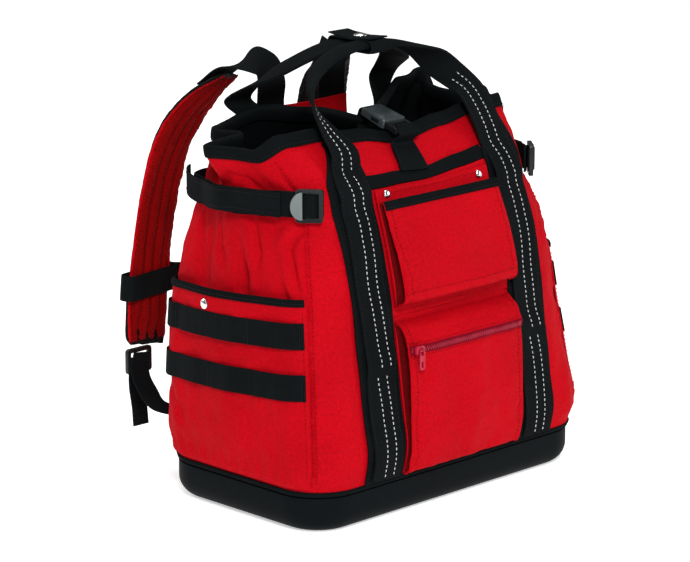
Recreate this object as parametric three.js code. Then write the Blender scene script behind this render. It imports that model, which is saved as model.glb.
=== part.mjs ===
// A tool backpack: a soft open-topped bag on a moulded tray, with webbing straps, pockets,
// buckles, two carry handles joined by a snap tab, and two padded shoulder straps.
// Millimetres, +Z up, +X to the bag's right hand side as seen from the front, +Y towards the
// wearer's back. The origin is the centre of the tray's underside.
import * as THREE from "three";

// Driving sizes of the tray and the bag
const TRAY_WIDTH = 380;
const TRAY_DEPTH = 221;
const TRAY_HEIGHT = 36;
const TRAY_WALL = 3;
const TRAY_FLOOR = 4;
const TRAY_CORNER = 46;
const BODY_HEIGHT = 362; // the rim's usual height above the ground
const BODY_WALL = 1.6;
const LINING_WALL = 1;
const LAYER_GAP = 0.6; // clearance between two layers of cloth
const SKIN_GAP = 1; // clearance between the curved bag and what is sewn on it
const RIM_BINDING_HEIGHT = BODY_HEIGHT * (1 - 0.972);
const BASE_BAND_TOP = 47;
const HALF_WIDTH = TRAY_WIDTH / 2;
const HALF_DEPTH = TRAY_DEPTH / 2;

// Webbing
const WEBBING = 1.8; // thickness
const STRAP_WIDTH = 50;
const HANDLE_WIDTH = 38;
const GRIP_WIDTH = 24;
const STRAP_CENTRE = 106; // from the front's middle, along the cloth
const NARROW_WEBBING = 25;

// The bag's sections. height is a share of BODY_HEIGHT, width of half the tray's width, and the
// other columns but behind, the width at the rear corners, are shares of half the tray's depth:
// front and back faces, the two corner radii, how far the back's middle is pulled forward, and how
// deep the side folds in.
const SECTIONS = [
  { height: 0.066, width: 0.981, behind: 0.981, front: 0.966, back: 0.966, corner: 0.4, rear: 0.4, pinch: 0, cleft: 0 },
  { height: 0.101, width: 0.981, behind: 0.981, front: 0.966, back: 0.966, corner: 0.4, rear: 0.4, pinch: 0, cleft: 0 },
  { height: 0.11, width: 1.0, behind: 1.0, front: 1.01, back: 1.0, corner: 0.42, rear: 0.42, pinch: 0, cleft: 0 },
  { height: 0.13, width: 1.008, behind: 1.005, front: 1.03, back: 1.01, corner: 0.43, rear: 0.42, pinch: 0, cleft: 0 },
  { height: 0.19, width: 1.014, behind: 1.0, front: 1.055, back: 1.015, corner: 0.42, rear: 0.36, pinch: 0, cleft: 0 },
  { height: 0.28, width: 0.996, behind: 0.98, front: 1.01, back: 1.02, corner: 0.42, rear: 0.32, pinch: 0, cleft: 0 },
  { height: 0.45, width: 0.958, behind: 0.945, front: 0.925, back: 1.02, corner: 0.42, rear: 0.28, pinch: 0, cleft: 0 },
  { height: 0.61, width: 0.93, behind: 0.91, front: 0.85, back: 1.015, corner: 0.42, rear: 0.26, pinch: 0, cleft: 0 },
  { height: 0.69, width: 0.91, behind: 0.875, front: 0.79, back: 1.0, corner: 0.43, rear: 0.25, pinch: 0, cleft: 0 },
  { height: 0.76, width: 0.88, behind: 0.83, front: 0.725, back: 0.98, corner: 0.44, rear: 0.25, pinch: 0.02, cleft: 0 },
  { height: 0.82, width: 0.85, behind: 0.795, front: 0.66, back: 0.95, corner: 0.44, rear: 0.25, pinch: 0.08, cleft: 0.01 },
  { height: 0.87, width: 0.85, behind: 0.78, front: 0.6, back: 0.92, corner: 0.42, rear: 0.25, pinch: 0.2, cleft: 0.06 },
  { height: 0.91, width: 0.865, behind: 0.775, front: 0.49, back: 0.88, corner: 0.38, rear: 0.23, pinch: 0.36, cleft: 0.14 },
  { height: 0.972, width: 0.888, behind: 0.791, front: 0.28, back: 0.824, corner: 0.31, rear: 0.2, pinch: 0.6, cleft: 0.22 },
  { height: 1.0, width: 0.9, behind: 0.8, front: 0.2, back: 0.8, corner: 0.28, rear: 0.19, pinch: 0.7, cleft: 0.25 },
];
// The rim rises and falls round the bag. place is a share of the way from the front's middle to
// the back's middle, and lift a share of BODY_HEIGHT.
const RIM = [
  { place: 0, lift: -0.025 },
  { place: 0.1, lift: 0.0 },
  { place: 0.2, lift: 0.022 },
  { place: 0.27, lift: 0.02 },
  { place: 0.35, lift: -0.022 },
  { place: 0.5, lift: -0.02 },
  { place: 0.6, lift: -0.014 },
  { place: 0.72, lift: 0.0 },
  { place: 0.82, lift: 0.045 },
  { place: 0.9, lift: 0.035 },
  { place: 1, lift: 0.0 },
];
const RIM_LIFT_FROM = 0.8; // share of BODY_HEIGHT where the rim's rise begins
// Gathers in the cloth. place as above, top and bottom shares of BODY_HEIGHT, half_width and
// depth shares of half the tray's depth.
const GATHERS = [
  { place: 0.37, top: 0.8, bottom: 0.5, half_width: 0.09, depth: 0.055 },
  { place: 0.47, top: 0.8, bottom: 0.58, half_width: 0.08, depth: 0.06 },
  { place: 0.57, top: 0.8, bottom: 0.55, half_width: 0.08, depth: 0.05 },
];
const SIDE_BULGE = 4;
const FACE_BULGE = 2.5;
const RIM_FLARE = 18; // how far the rim of each side opens outwards
const FLARE_FROM = 0.86; // share of BODY_HEIGHT where the sides begin to open
const TURN_FROM = 0.55; // share of the side's run where it begins to narrow to the rear corner
const BULGE_FROM = 0.11; // shares of BODY_HEIGHT between which the bulges grow
const BULGE_FULL = 0.25;
const PINCH_REACH = 88;
const CLEFT_SHARE = 0.62; // of half the tray's width, where the cleft column is 1
const CLEFT_HALF_WIDTH = 12;
const CLEFT_FROM_BACK = 27; // from the back face to the fold's middle

// The shares of the half outline where its five runs end, and the steps in each run
const RUNS = [
  { name: "front", end: 0.24, steps: 4 },
  { name: "front corner", end: 0.38, steps: 3 },
  { name: "side", end: 0.62, steps: 8 },
  { name: "rear corner", end: 0.74, steps: 3 },
  { name: "back", end: 1, steps: 5 },
];

const lerp = (a, b, t) => a + (b - a) * t;
const smooth = (t) => THREE.MathUtils.smoothstep(t, 0, 1);
const bell = (t) => Math.exp(-t * t);

// A table's row at a height or place, blended smoothly between the rows on either side.
function rowAt(table, key, value, blend = (t) => t) {
  let i = 0;
  while (i < table.length - 2 && value > table[i + 1][key]) i++;
  const [a, b] = [table[i], table[i + 1]];
  const t = THREE.MathUtils.clamp((value - a[key]) / (b[key] - a[key]), 0, 1);
  return Object.fromEntries(Object.keys(a).map((k) => [k, lerp(a[k], b[k], blend(t))]));
}

// The half outline of one section, at a share of the way from the front's middle to the back's.
function outlinePoint(row, place) {
  const half = row.width * HALF_WIDTH;
  const behind = row.behind * HALF_WIDTH;
  const front = -row.front * HALF_DEPTH;
  const back = row.back * HALF_DEPTH;
  const r = row.corner * HALF_DEPTH;
  const q = row.rear * HALF_DEPTH;
  const [f, fc, s, rc] = RUNS.map((run) => run.end);
  const full = smooth((row.height - BULGE_FROM) / (BULGE_FULL - BULGE_FROM));
  let x, y;
  if (place <= f) {
    x = ((half - r) * place) / f;
    y = front;
  } else if (place <= fc) {
    const a = ((place - f) / (fc - f)) * (Math.PI / 2);
    x = half - r + r * Math.sin(a);
    y = front + r - r * Math.cos(a);
  } else if (place <= s) {
    const t = (place - fc) / (s - fc);
    const flare = RIM_FLARE * smooth((row.height - FLARE_FROM) / (1 - FLARE_FROM));
    x = lerp(half, behind, smooth((t - TURN_FROM) / (1 - TURN_FROM)));
    x += SIDE_BULGE * full * Math.sin(Math.PI * t) + flare * Math.sin(Math.PI * t * t);
    y = lerp(front + r, back - q, t);
  } else if (place <= rc) {
    const a = ((place - s) / (rc - s)) * (Math.PI / 2);
    x = behind - q + q * Math.cos(a);
    y = back - q + q * Math.sin(a);
  } else {
    x = (behind - q) * (1 - (place - rc) / (1 - rc));
    y = back;
  }
  const middle = 1 - (x / half) ** 2;
  y += (place < 0.5 ? -1 : 1) * FACE_BULGE * full * Math.max(middle, 0) * smooth(Math.abs(place - 0.5) * 4);
  if (place > fc && place < rc) {
    x -= row.cleft * HALF_WIDTH * CLEFT_SHARE * bell((y - back + CLEFT_FROM_BACK) / CLEFT_HALF_WIDTH);
  }
  if (place > 0.5) y -= row.pinch * HALF_DEPTH * bell(x / PINCH_REACH);
  return new THREE.Vector2(x, y);
}

// A point of the bag's outer face: place runs 0 to 1 on the right half and 0 to -1 on the left.
function shapePoint(place, height) {
  const p = Math.abs(place);
  const share = height / BODY_HEIGHT;
  const row = rowAt(SECTIONS, "height", share);
  const flat = outlinePoint(row, p);
  const lift = rowAt(RIM, "place", p, smooth).lift * BODY_HEIGHT;
  const rise = smooth((share - RIM_LIFT_FROM) / (1 - RIM_LIFT_FROM));
  const point = new THREE.Vector3(flat.x * Math.sign(place || 1), flat.y, height + lift * rise);
  for (const g of GATHERS) {
    const span = (share - g.bottom) / (g.top - g.bottom);
    if (span <= 0 || span >= 1) continue;
    const away = ((p - g.place) * 2 * (HALF_WIDTH + HALF_DEPTH)) / (g.half_width * HALF_DEPTH);
    const dent = g.depth * HALF_DEPTH * bell(away) * Math.sin(Math.PI * span ** 0.6);
    point.x -= Math.sign(place || 1) * dent;
  }
  return point;
}

// The grid that the bag is built on. Everything sewn to the bag is placed on this same grid.
const PLACES = [0];
for (const [i, run] of RUNS.entries()) {
  const start = i ? RUNS[i - 1].end : 0;
  for (let k = 1; k <= run.steps; k++) PLACES.push(lerp(start, run.end, k / run.steps));
}
const ROUND = [...PLACES, ...PLACES.slice(1, -1).reverse().map((p) => -p)];
const LEVELS = SECTIONS.map((row) => row.height * BODY_HEIGHT);
const GRID = LEVELS.map((height) => PLACES.map((place) => shapePoint(place, height)));

// A point on the grid's facets, between its levels and places.
function gridPoint(place, height) {
  const p = Math.min(Math.abs(place), 1);
  let i = 0;
  while (i < PLACES.length - 2 && p > PLACES[i + 1]) i++;
  let j = 0;
  while (j < LEVELS.length - 2 && height > LEVELS[j + 1]) j++;
  const u = (p - PLACES[i]) / (PLACES[i + 1] - PLACES[i]);
  const v = (height - LEVELS[j]) / (LEVELS[j + 1] - LEVELS[j]);
  const [a, b, c, d] = [GRID[j][i], GRID[j][i + 1], GRID[j + 1][i + 1], GRID[j + 1][i]];
  const point = a.clone();
  if (u > v) point.addScaledVector(b.clone().sub(a), u).addScaledVector(c.clone().sub(b), v);
  else point.addScaledVector(d.clone().sub(a), v).addScaledVector(c.clone().sub(d), u);
  if (place < 0) point.x = -point.x;
  return point;
}

const NORMAL_STEP_PLACE = 0.012;
const NORMAL_STEP_HEIGHT = 3;
function gridNormal(place, height) {
  const top = LEVELS[LEVELS.length - 1];
  const right = place < 0 ? -1 : 1;
  const p = Math.abs(place);
  const along = (d) => {
    const q = p + d;
    if (q < 0) return gridPoint(-q, height).multiply(new THREE.Vector3(-1, 1, 1));
    if (q > 1) return gridPoint(2 - q, height).multiply(new THREE.Vector3(-1, 1, 1));
    return gridPoint(q, height);
  };
  const t = along(NORMAL_STEP_PLACE).sub(along(-NORMAL_STEP_PLACE));
  const up = gridPoint(p, Math.min(height + NORMAL_STEP_HEIGHT, top));
  up.sub(gridPoint(p, Math.max(height - NORMAL_STEP_HEIGHT, LEVELS[0])));
  const n = t.cross(up).normalize();
  n.x *= right;
  return n;
}
const skin = (place, height, out = 0) => gridPoint(place, height).addScaledVector(gridNormal(place, height), out);

// The place that lies a distance along the cloth from another one, at one height.
const WALK_STEP = 0.002;
function walk(from, distance, height) {
  const way = Math.sign(distance);
  let place = from;
  let left = Math.abs(distance);
  let here = gridPoint(place, height);
  while (left > 0) {
    const next = gridPoint(place + way * WALK_STEP, height);
    const step = next.distanceTo(here);
    if (step >= left) return place + (way * WALK_STEP * left) / step;
    left -= step;
    place += way * WALK_STEP;
    here = next;
  }
  return place;
}

// Closed geometry from a list of triangles, each three points.
function closedGeometry(triangles) {
  const positions = new Float32Array(triangles.flatMap((t) => t.flatMap((p) => [p.x, p.y, p.z])));
  const geometry = new THREE.BufferGeometry();
  geometry.setAttribute("position", new THREE.BufferAttribute(positions, 3));
  geometry.computeVertexNormals();
  return geometry;
}
const quad = (a, b, c, d) => [
  [a, b, c],
  [a, c, d],
];

// Two triangles for a patch whose corners go round from its lower left. The patch is split along
// one diagonal on the bag's right half and along the other on its left, so that layers match.
function patch(a, b, c, d) {
  const right = a.x + b.x + c.x + d.x >= 0;
  return right ? quad(a, b, c, d) : quad(b, c, d, a);
}
const turned = (triangles) => triangles.map(([a, b, c]) => [a, c, b]);

// Rings of points, each joined to the next. They close on the first ring, or end in flat caps.
function ringsGeometry(rings, capped) {
  const triangles = [];
  const count = rings[0].length;
  const last = capped ? rings.length - 1 : rings.length;
  for (let i = 0; i < last; i++) {
    const [a, b] = [rings[i], rings[(i + 1) % rings.length]];
    for (let j = 0; j < count; j++) {
      const k = (j + 1) % count;
      const rising = b[j].z >= a[j].z;
      const way = rising ? patch(a[j], a[k], b[k], b[j]) : turned(patch(b[j], b[k], a[k], a[j]));
      triangles.push(...way);
    }
  }
  if (capped) {
    const middle = (ring) => ring.reduce((m, p) => m.add(p), new THREE.Vector3()).divideScalar(count);
    const [low, high] = [rings[0], rings[rings.length - 1]];
    const [lowMiddle, highMiddle] = [middle(low), middle(high)];
    for (let j = 0; j < count; j++) {
      const k = (j + 1) % count;
      triangles.push([lowMiddle, low[k], low[j]], [highMiddle, high[j], high[k]]);
    }
  }
  return closedGeometry(triangles);
}

// A closed tube of cloth from an outer and an inner grid of points, whose columns go right round.
function tubeWall(outer, inner) {
  const triangles = [];
  const count = outer[0].length;
  const t = outer.length - 1;
  for (let j = 0; j < count; j++) {
    const k = (j + 1) % count;
    for (let i = 0; i < t; i++) {
      triangles.push(...patch(outer[i][j], outer[i][k], outer[i + 1][k], outer[i + 1][j]));
      triangles.push(...turned(patch(inner[i][j], inner[i][k], inner[i + 1][k], inner[i + 1][j])));
    }
    triangles.push(...quad(inner[0][j], inner[0][k], outer[0][k], outer[0][j]));
    triangles.push(...quad(outer[t][j], outer[t][k], inner[t][k], inner[t][j]));
  }
  return closedGeometry(triangles);
}

// A wall between an outer and an inner grid of points, rows from low to high and columns to the
// right as seen from outside.
function wallGeometry(outer, inner) {
  const triangles = [];
  const rows = outer.length;
  const columns = outer[0].length;
  for (let i = 0; i + 1 < rows; i++) {
    for (let j = 0; j + 1 < columns; j++) {
      triangles.push(...patch(outer[i][j], outer[i][j + 1], outer[i + 1][j + 1], outer[i + 1][j]));
      triangles.push(...turned(patch(inner[i][j], inner[i][j + 1], inner[i + 1][j + 1], inner[i + 1][j])));
    }
    triangles.push(...quad(inner[i][0], outer[i][0], outer[i + 1][0], inner[i + 1][0]));
    const e = columns - 1;
    triangles.push(...quad(outer[i][e], inner[i][e], inner[i + 1][e], outer[i + 1][e]));
  }
  const t = rows - 1;
  for (let j = 0; j + 1 < columns; j++) {
    triangles.push(...quad(inner[0][j], inner[0][j + 1], outer[0][j + 1], outer[0][j]));
    triangles.push(...quad(outer[t][j], outer[t][j + 1], inner[t][j + 1], inner[t][j]));
  }
  return closedGeometry(triangles);
}

// A wall of one thickness behind a grid of outer points, which finds its own normals.
function sheetGeometry(outer, thickness) {
  const rows = outer.length;
  const columns = outer[0].length;
  const inner = outer.map((row, i) =>
    row.map((point, j) => {
      const across = outer[i][Math.min(j + 1, columns - 1)].clone().sub(outer[i][Math.max(j - 1, 0)]);
      const up = outer[Math.min(i + 1, rows - 1)][j].clone().sub(outer[Math.max(i - 1, 0)][j]);
      return point.clone().addScaledVector(across.cross(up).normalize(), -thickness);
    }),
  );
  return wallGeometry(outer, inner);
}

// The heights from bottom to top, with the grid's own levels between them.
function heightsBetween(bottom, top, margin = 2) {
  return [bottom, ...LEVELS.filter((h) => h > bottom + margin && h < top - margin), top];
}
// The grid's own places between two places on the right half.
function placesBetween(from, to, margin = 0.006) {
  return [from, ...PLACES.filter((p) => p > from + margin && p < to - margin), to];
}

// A vertical strip sewn on the bag between two distances from the front's or back's middle.
function verticalStrip({ from, start, end, columns, heights, inside, outside }) {
  const rowOf = (out) => (height) =>
    Array.from({ length: columns + 1 }, (_, k) => skin(walk(from, lerp(start, end, k / columns), height), height, out));
  return wallGeometry(heights.map(rowOf(outside)), heights.map(rowOf(inside)));
}

const vector = (x, y, z) => new THREE.Vector3(x, y, z);
const mirrored = (point) => vector(-point.x, point.y, point.z);

// The tray: a dish with rounded corners and a rounded lower edge
const TRAY_EDGE_RISE = 20;
const TRAY_EDGE_INSET = 20;
const EDGE_STEPS = 4;
const CORNER_STEPS = 4;
function roundedRing(halfWidth, halfDepth, radius, z) {
  const ring = [];
  for (const [sx, sy, from] of [[1, -1, -90], [1, 1, 0], [-1, 1, 90], [-1, -1, 180]]) {
    for (let k = 0; k <= CORNER_STEPS; k++) {
      const a = THREE.MathUtils.degToRad(from + (90 * k) / CORNER_STEPS);
      const x = sx * (halfWidth - radius) + radius * Math.cos(a);
      ring.push(vector(x, sy * (halfDepth - radius) + radius * Math.sin(a), z));
    }
  }
  return ring;
}
function trayGeometry() {
  const at = (inset, z) =>
    roundedRing(HALF_WIDTH - inset, HALF_DEPTH - inset, Math.max(TRAY_CORNER - inset, 12), z);
  const edge = (inset, low) =>
    Array.from({ length: EDGE_STEPS + 1 }, (_, k) => {
      const a = (k / EDGE_STEPS) * (Math.PI / 2);
      const rise = (TRAY_EDGE_RISE - low) * (1 - Math.cos(a)) + low;
      return at(inset + (TRAY_EDGE_INSET - inset) * (1 - Math.sin(a)) * (inset ? 0.9 : 1), rise);
    });
  const outside = [...edge(0, 0), at(0, TRAY_HEIGHT - 1)];
  const lip = [at(1, TRAY_HEIGHT), at(TRAY_WALL - 0.6, TRAY_HEIGHT)];
  const inside = [at(TRAY_WALL, TRAY_HEIGHT - 1), ...edge(TRAY_WALL, TRAY_FLOOR).reverse()];
  return ringsGeometry([...outside, ...lip, ...inside], true);
}

// The bag: an open tube of cloth, its lining, the band at its foot and the binding on its rim
const ringAt = (height, out, top = 0) =>
  ROUND.map((place) => {
    const point = skin(place, height, out);
    point.z += top;
    return point;
  });
function tubeGeometry(heights, outside, inside) {
  return tubeWall(
    heights.map((h) => ringAt(h, outside)),
    heights.map((h) => ringAt(h, inside)),
  );
}
const BODY_TOP = LEVELS[LEVELS.length - 1];
const LINING_OUT = -(BODY_WALL + SKIN_GAP);
const BINDING_WALL = 1.2;
function rimBindingGeometry() {
  const low = BODY_TOP - RIM_BINDING_HEIGHT;
  const inner = LINING_OUT - LINING_WALL - 0.8 * SKIN_GAP;
  const clear = SKIN_GAP / 2;
  const rings = [
    ringAt(low, clear),
    ringAt(low, clear + BINDING_WALL),
    ringAt(BODY_TOP, clear + BINDING_WALL),
    ringAt(BODY_TOP, (clear + inner) / 2, clear + BINDING_WALL),
    ringAt(BODY_TOP, inner - BINDING_WALL),
    ringAt(low, inner - BINDING_WALL),
    ringAt(low, inner),
    ringAt(BODY_TOP, inner, LAYER_GAP),
    ringAt(BODY_TOP, clear, LAYER_GAP),
  ];
  return ringsGeometry(rings, false);
}

// The front pockets, placed by their half width and by how far they stand off the bag
const FLAT_POCKET_HALF = 78;
const FLAT_POCKET_BOTTOM = 196;
const FLAT_POCKET_TOP = 318;
const POCKET_HALF = 79;
const POCKET_BOTTOM = 206;
const POCKET_MOUTH = 300;
const POCKET_BACK_TOP = 313;
const MOUTH_BINDING = 8;
const CLOTH = 1.4;
const LAYER = CLOTH + SKIN_GAP; // one sewn layer on the next
const POCKET_PLACES = [-1, -0.95, -0.8, -0.4, 0, 0.4, 0.8, 0.95, 1];

function flatPanel(half, bottom, top, inside, thickness) {
  const heights = heightsBetween(bottom, top);
  return verticalStrip({ from: 0, start: -half, end: half, columns: 6, heights, inside, outside: inside + thickness });
}

// A pocket's sheet. Each row holds its height and how far it stands off the bag at its middle and
// at its sides.
function pocketPoint(side, row, half, out = 0) {
  const gusset = Math.abs(side) > 0.98;
  const place = walk(0, side * half * (gusset ? 1.012 : 1), row.height);
  const bow = 1 - side * side;
  const away = gusset ? row.rest : lerp(row.edge, row.middle, bow);
  return skin(place, row.height, away + out);
}
function pocketGeometry(rows, half) {
  return sheetGeometry(rows.map((row) => POCKET_PLACES.map((side) => pocketPoint(side, row, half))), CLOTH);
}
const POCKET_REST = 2 * LAYER + SKIN_GAP / 2 + CLOTH;
const FRONT_POCKET_ROWS = [
  { height: POCKET_BOTTOM, middle: POCKET_REST, edge: POCKET_REST, rest: POCKET_REST },
  { height: POCKET_BOTTOM + 2, middle: 24, edge: 20, rest: POCKET_REST },
  { height: POCKET_BOTTOM + 14, middle: 27, edge: 21, rest: POCKET_REST },
  { height: POCKET_BOTTOM + 50, middle: 25, edge: 19, rest: POCKET_REST },
  { height: POCKET_MOUTH - 12, middle: 19, edge: 15, rest: POCKET_REST },
  { height: POCKET_MOUTH, middle: 18, edge: 14, rest: POCKET_REST },
];
const ZIP_POCKET_HALF = 79;
const ZIP_POCKET_BOTTOM = 49;
const ZIP_HEIGHT = 168;
const ZIP_POCKET_TOP = 190;
const ZIP_REST = SKIN_GAP + CLOTH;
const ZIP_POCKET_ROWS = [
  { height: ZIP_POCKET_BOTTOM, middle: ZIP_REST, edge: ZIP_REST, rest: ZIP_REST },
  { height: ZIP_POCKET_BOTTOM + 2, middle: 9, edge: 7, rest: ZIP_REST },
  { height: ZIP_POCKET_BOTTOM + 20, middle: 13, edge: 9, rest: ZIP_REST },
  { height: ZIP_POCKET_BOTTOM + 62, middle: 21, edge: 14, rest: ZIP_REST },
  { height: ZIP_HEIGHT - 14, middle: 24, edge: 18, rest: ZIP_REST },
  { height: ZIP_HEIGHT, middle: 23, edge: 18, rest: ZIP_REST },
  { height: ZIP_HEIGHT + 12, middle: 17, edge: 13, rest: ZIP_REST },
  { height: ZIP_POCKET_TOP, middle: ZIP_REST, edge: ZIP_REST, rest: ZIP_REST },
];
const ZIP_TAPE = 9;
const ZIP_THICKNESS = 1.6;

// A band across a pocket, lying on its sheet
function pocketBand(table, half, bottom, top, inside, thickness) {
  const rows = [bottom, top].map((height) => ({ ...rowAt(table, "height", height), height }));
  const sides = POCKET_PLACES.slice(1, -1);
  const layer = (out) => rows.map((row) => sides.map((side) => pocketPoint(side, row, half, out)));
  return wallGeometry(layer(inside + thickness), layer(inside));
}

// The two webbing straps up the front, their handle loop, and the same at the back
const STRAP_FOOT = 49;
const STRAP_TOP = BODY_TOP - RIM_BINDING_HEIGHT - 2;
const HANDLE_LEAVES = 318; // height where the handle leaves the front of the bag
const frontHeights = heightsBetween(STRAP_FOOT, STRAP_TOP);
function frontStrapGeometry(side) {
  const start = side * STRAP_CENTRE - STRAP_WIDTH / 2;
  const end = side * STRAP_CENTRE + STRAP_WIDTH / 2;
  return verticalStrip({
    from: 0, start, end, columns: 5, heights: frontHeights, inside: SKIN_GAP, outside: SKIN_GAP + WEBBING,
  });
}
// Half of the handle's arch, from the strap to the top. The ribbon's width turns from lying along
// the front to lying across the grip.
const FRONT_ARCH = [
  { x: 103, y: -63, z: 332, turn: 0, width: HANDLE_WIDTH },
  { x: 103, y: -55.5, z: 350, turn: 0, width: HANDLE_WIDTH },
  { x: 103, y: -41, z: 369, turn: 0, width: HANDLE_WIDTH },
  { x: 101, y: -22, z: 387, turn: 0.1, width: HANDLE_WIDTH - 1 },
  { x: 95, y: -10, z: 402, turn: 0.35, width: HANDLE_WIDTH - 4 },
  { x: 82, y: -4, z: 415, turn: 0.7, width: HANDLE_WIDTH - 10 },
  { x: 58, y: -2, z: 426, turn: 1, width: GRIP_WIDTH },
  { x: 30, y: -3, z: 433, turn: 1, width: GRIP_WIDTH },
  { x: 0, y: -4, z: 436, turn: 1, width: GRIP_WIDTH },
];
const REAR_ARCH = [
  { x: 100, y: 88, z: 385, turn: 0, width: HANDLE_WIDTH },
  { x: 98, y: 76, z: 396, turn: 0.2, width: HANDLE_WIDTH - 2 },
  { x: 86, y: 60, z: 406, turn: 0.6, width: HANDLE_WIDTH - 8 },
  { x: 60, y: 44, z: 419, turn: 0.9, width: GRIP_WIDTH },
  { x: 30, y: 30, z: 431, turn: 1, width: GRIP_WIDTH },
  { x: 0, y: 25, z: 436, turn: 1, width: GRIP_WIDTH },
];
function archRows(table, lying) {
  const half = table.map((row) => {
    const across = vector(...lying).normalize().lerp(vector(0, 1, 0), row.turn).normalize();
    return { at: vector(row.x, row.y, row.z), across, width: row.width };
  });
  const other = half.slice(0, -1).reverse().map((row) => ({
    ...row,
    at: mirrored(row.at),
    across: mirrored(row.across),
  }));
  return [...half, ...other];
}
// Rows of points, for a ribbon's outer and inner face.
const RIBBON_BOW = 0.6; // how far a ribbon's middle stands above its edges
const RIBBON = [-0.5, -0.25, 0, 0.25, 0.5]; // shares of the width
function ribbonFaces(rows, thickness) {
  return [1, -1].map((face) =>
    rows.map((row, i) => {
      const ahead = rows[Math.min(i + 1, rows.length - 1)].at;
      const along = ahead.clone().sub(rows[Math.max(i - 1, 0)].at).normalize();
      const across = row.across.clone().addScaledVector(along, -row.across.dot(along)).normalize();
      const out = across.clone().cross(along).normalize();
      return RIBBON.map((k) =>
        row.at
          .clone()
          .addScaledVector(across, k * row.width)
          .addScaledVector(out, (face * thickness) / 2 + RIBBON_BOW * (1 - 4 * k * k)),
      );
    }),
  );
}
// A handle: up the bag on one side, over the arch, and down on the other. bagRow gives the three
// points of the webbing on the bag at one height, out from its skin.
function handleGeometry({ arch, lying, heights, bagRow, inside }) {
  const [outer, inner] = ribbonFaces(archRows(arch, lying), WEBBING);
  const up = (out) => heights.map((h) => bagRow(1, h, out));
  const down = (out) => heights.map((h) => bagRow(-1, h, out)).reverse().map((row) => row.reverse());
  const face = (out, middle) => [...up(out), ...middle, ...down(out)];
  return wallGeometry(face(inside + WEBBING, outer), face(inside, inner));
}
const handleInside = SKIN_GAP + WEBBING + SKIN_GAP;
const frontHandle = handleGeometry({
  arch: FRONT_ARCH,
  lying: [1, 0, 0],
  heights: heightsBetween(STRAP_FOOT + 2, HANDLE_LEAVES),
  inside: handleInside,
  bagRow: (side, height, out) =>
    RIBBON.map((k) => skin(walk(0, side * STRAP_CENTRE + k * HANDLE_WIDTH, height), height, out)),
});
const REAR_STRAP_CENTRE = 88; // from the back's middle, along the cloth
const REAR_STRAP_FOOT = 230;
const rearHandle = handleGeometry({
  arch: REAR_ARCH,
  lying: [-1, 0, 0],
  heights: heightsBetween(REAR_STRAP_FOOT, BODY_TOP - RIM_BINDING_HEIGHT - 3),
  inside: SKIN_GAP + 0.5,
  bagRow: (side, height, out) =>
    RIBBON.map((k) =>
      skin(walk(side * 0.999, -side * (REAR_STRAP_CENTRE - k * side * HANDLE_WIDTH), height), height, out),
    ),
});

// Side pockets: a sheet on each side of the bag whose mouth stands off, with two rows of webbing
const SIDE_POCKET_FROM = 0.325;
const SIDE_POCKET_TO = 0.735;
const SEAM = 0.006; // share of the half outline taken by a pocket's sewn edge
const SIDE_PLACES = [
  SIDE_POCKET_FROM,
  ...placesBetween(SIDE_POCKET_FROM + SEAM, SIDE_POCKET_TO - SEAM),
  SIDE_POCKET_TO,
];
const SIDE_POCKET_BOTTOM = 50;
const SIDE_POCKET_MOUTH = 223;
const SIDE_MOUTH_OUT = 8;
const SIDE_POCKET_OUT = 1.6;
const SIDE_ROWS = [{ height: 142 }, { height: 190 }];
const sideShare = (place) =>
  THREE.MathUtils.clamp((Math.abs(place) - SIDE_POCKET_FROM) / (SIDE_POCKET_TO - SIDE_POCKET_FROM), 0, 1);
// The pocket and its rows droop towards the back.
const SIDE_FALL = 11;
const FALL_FROM = 90; // above the pocket's foot, where the droop is whole
const drooped = (place, height) =>
  height - SIDE_FALL * sideShare(place) * Math.min((height - SIDE_POCKET_BOTTOM) / FALL_FROM, 1);
// How far the side pocket stands off the bag.
function sidePocketOut(place, height) {
  const t = sideShare(place);
  const up = smooth((height - SIDE_POCKET_BOTTOM) / (SIDE_POCKET_MOUTH - SIDE_POCKET_BOTTOM));
  const arch = Math.sin(Math.PI * THREE.MathUtils.clamp(t, 0, 1));
  return SKIN_GAP + CLOTH + SIDE_POCKET_OUT * arch ** 0.5 + SIDE_MOUTH_OUT * up * arch;
}
// Places on one side of the bag, from left to right as seen from outside.
const onSide = (side, places) => (side > 0 ? places : [...places].reverse().map((p) => -p));
function sideSheet(side, places, heights, inside, outside) {
  const layer = (out) =>
    heights.map((h) => onSide(side, places).map((p) => skin(p, drooped(p, h), sidePocketOut(p, h) + out)));
  return wallGeometry(layer(outside), layer(inside));
}
const sideHeights = heightsBetween(SIDE_POCKET_BOTTOM, SIDE_POCKET_MOUTH);
const sideFace = SIDE_PLACES.slice(1, -1);
function sidePocketGeometry(side) {
  const outer = sideHeights.map((h) =>
    onSide(side, SIDE_PLACES).map((p) => {
      const sewn = Math.abs(p) < SIDE_PLACES[1] || Math.abs(p) > SIDE_PLACES[SIDE_PLACES.length - 2];
      return skin(p, drooped(p, h), sewn ? SKIN_GAP + CLOTH : sidePocketOut(p, h));
    }),
  );
  return sheetGeometry(outer, CLOTH);
}
const sideRow = (side, height) =>
  sideSheet(side, sideFace, heightsBetween(height - NARROW_WEBBING / 2, height + NARROW_WEBBING / 2),
    1.2 * SKIN_GAP, 1.2 * SKIN_GAP + WEBBING);

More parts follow.
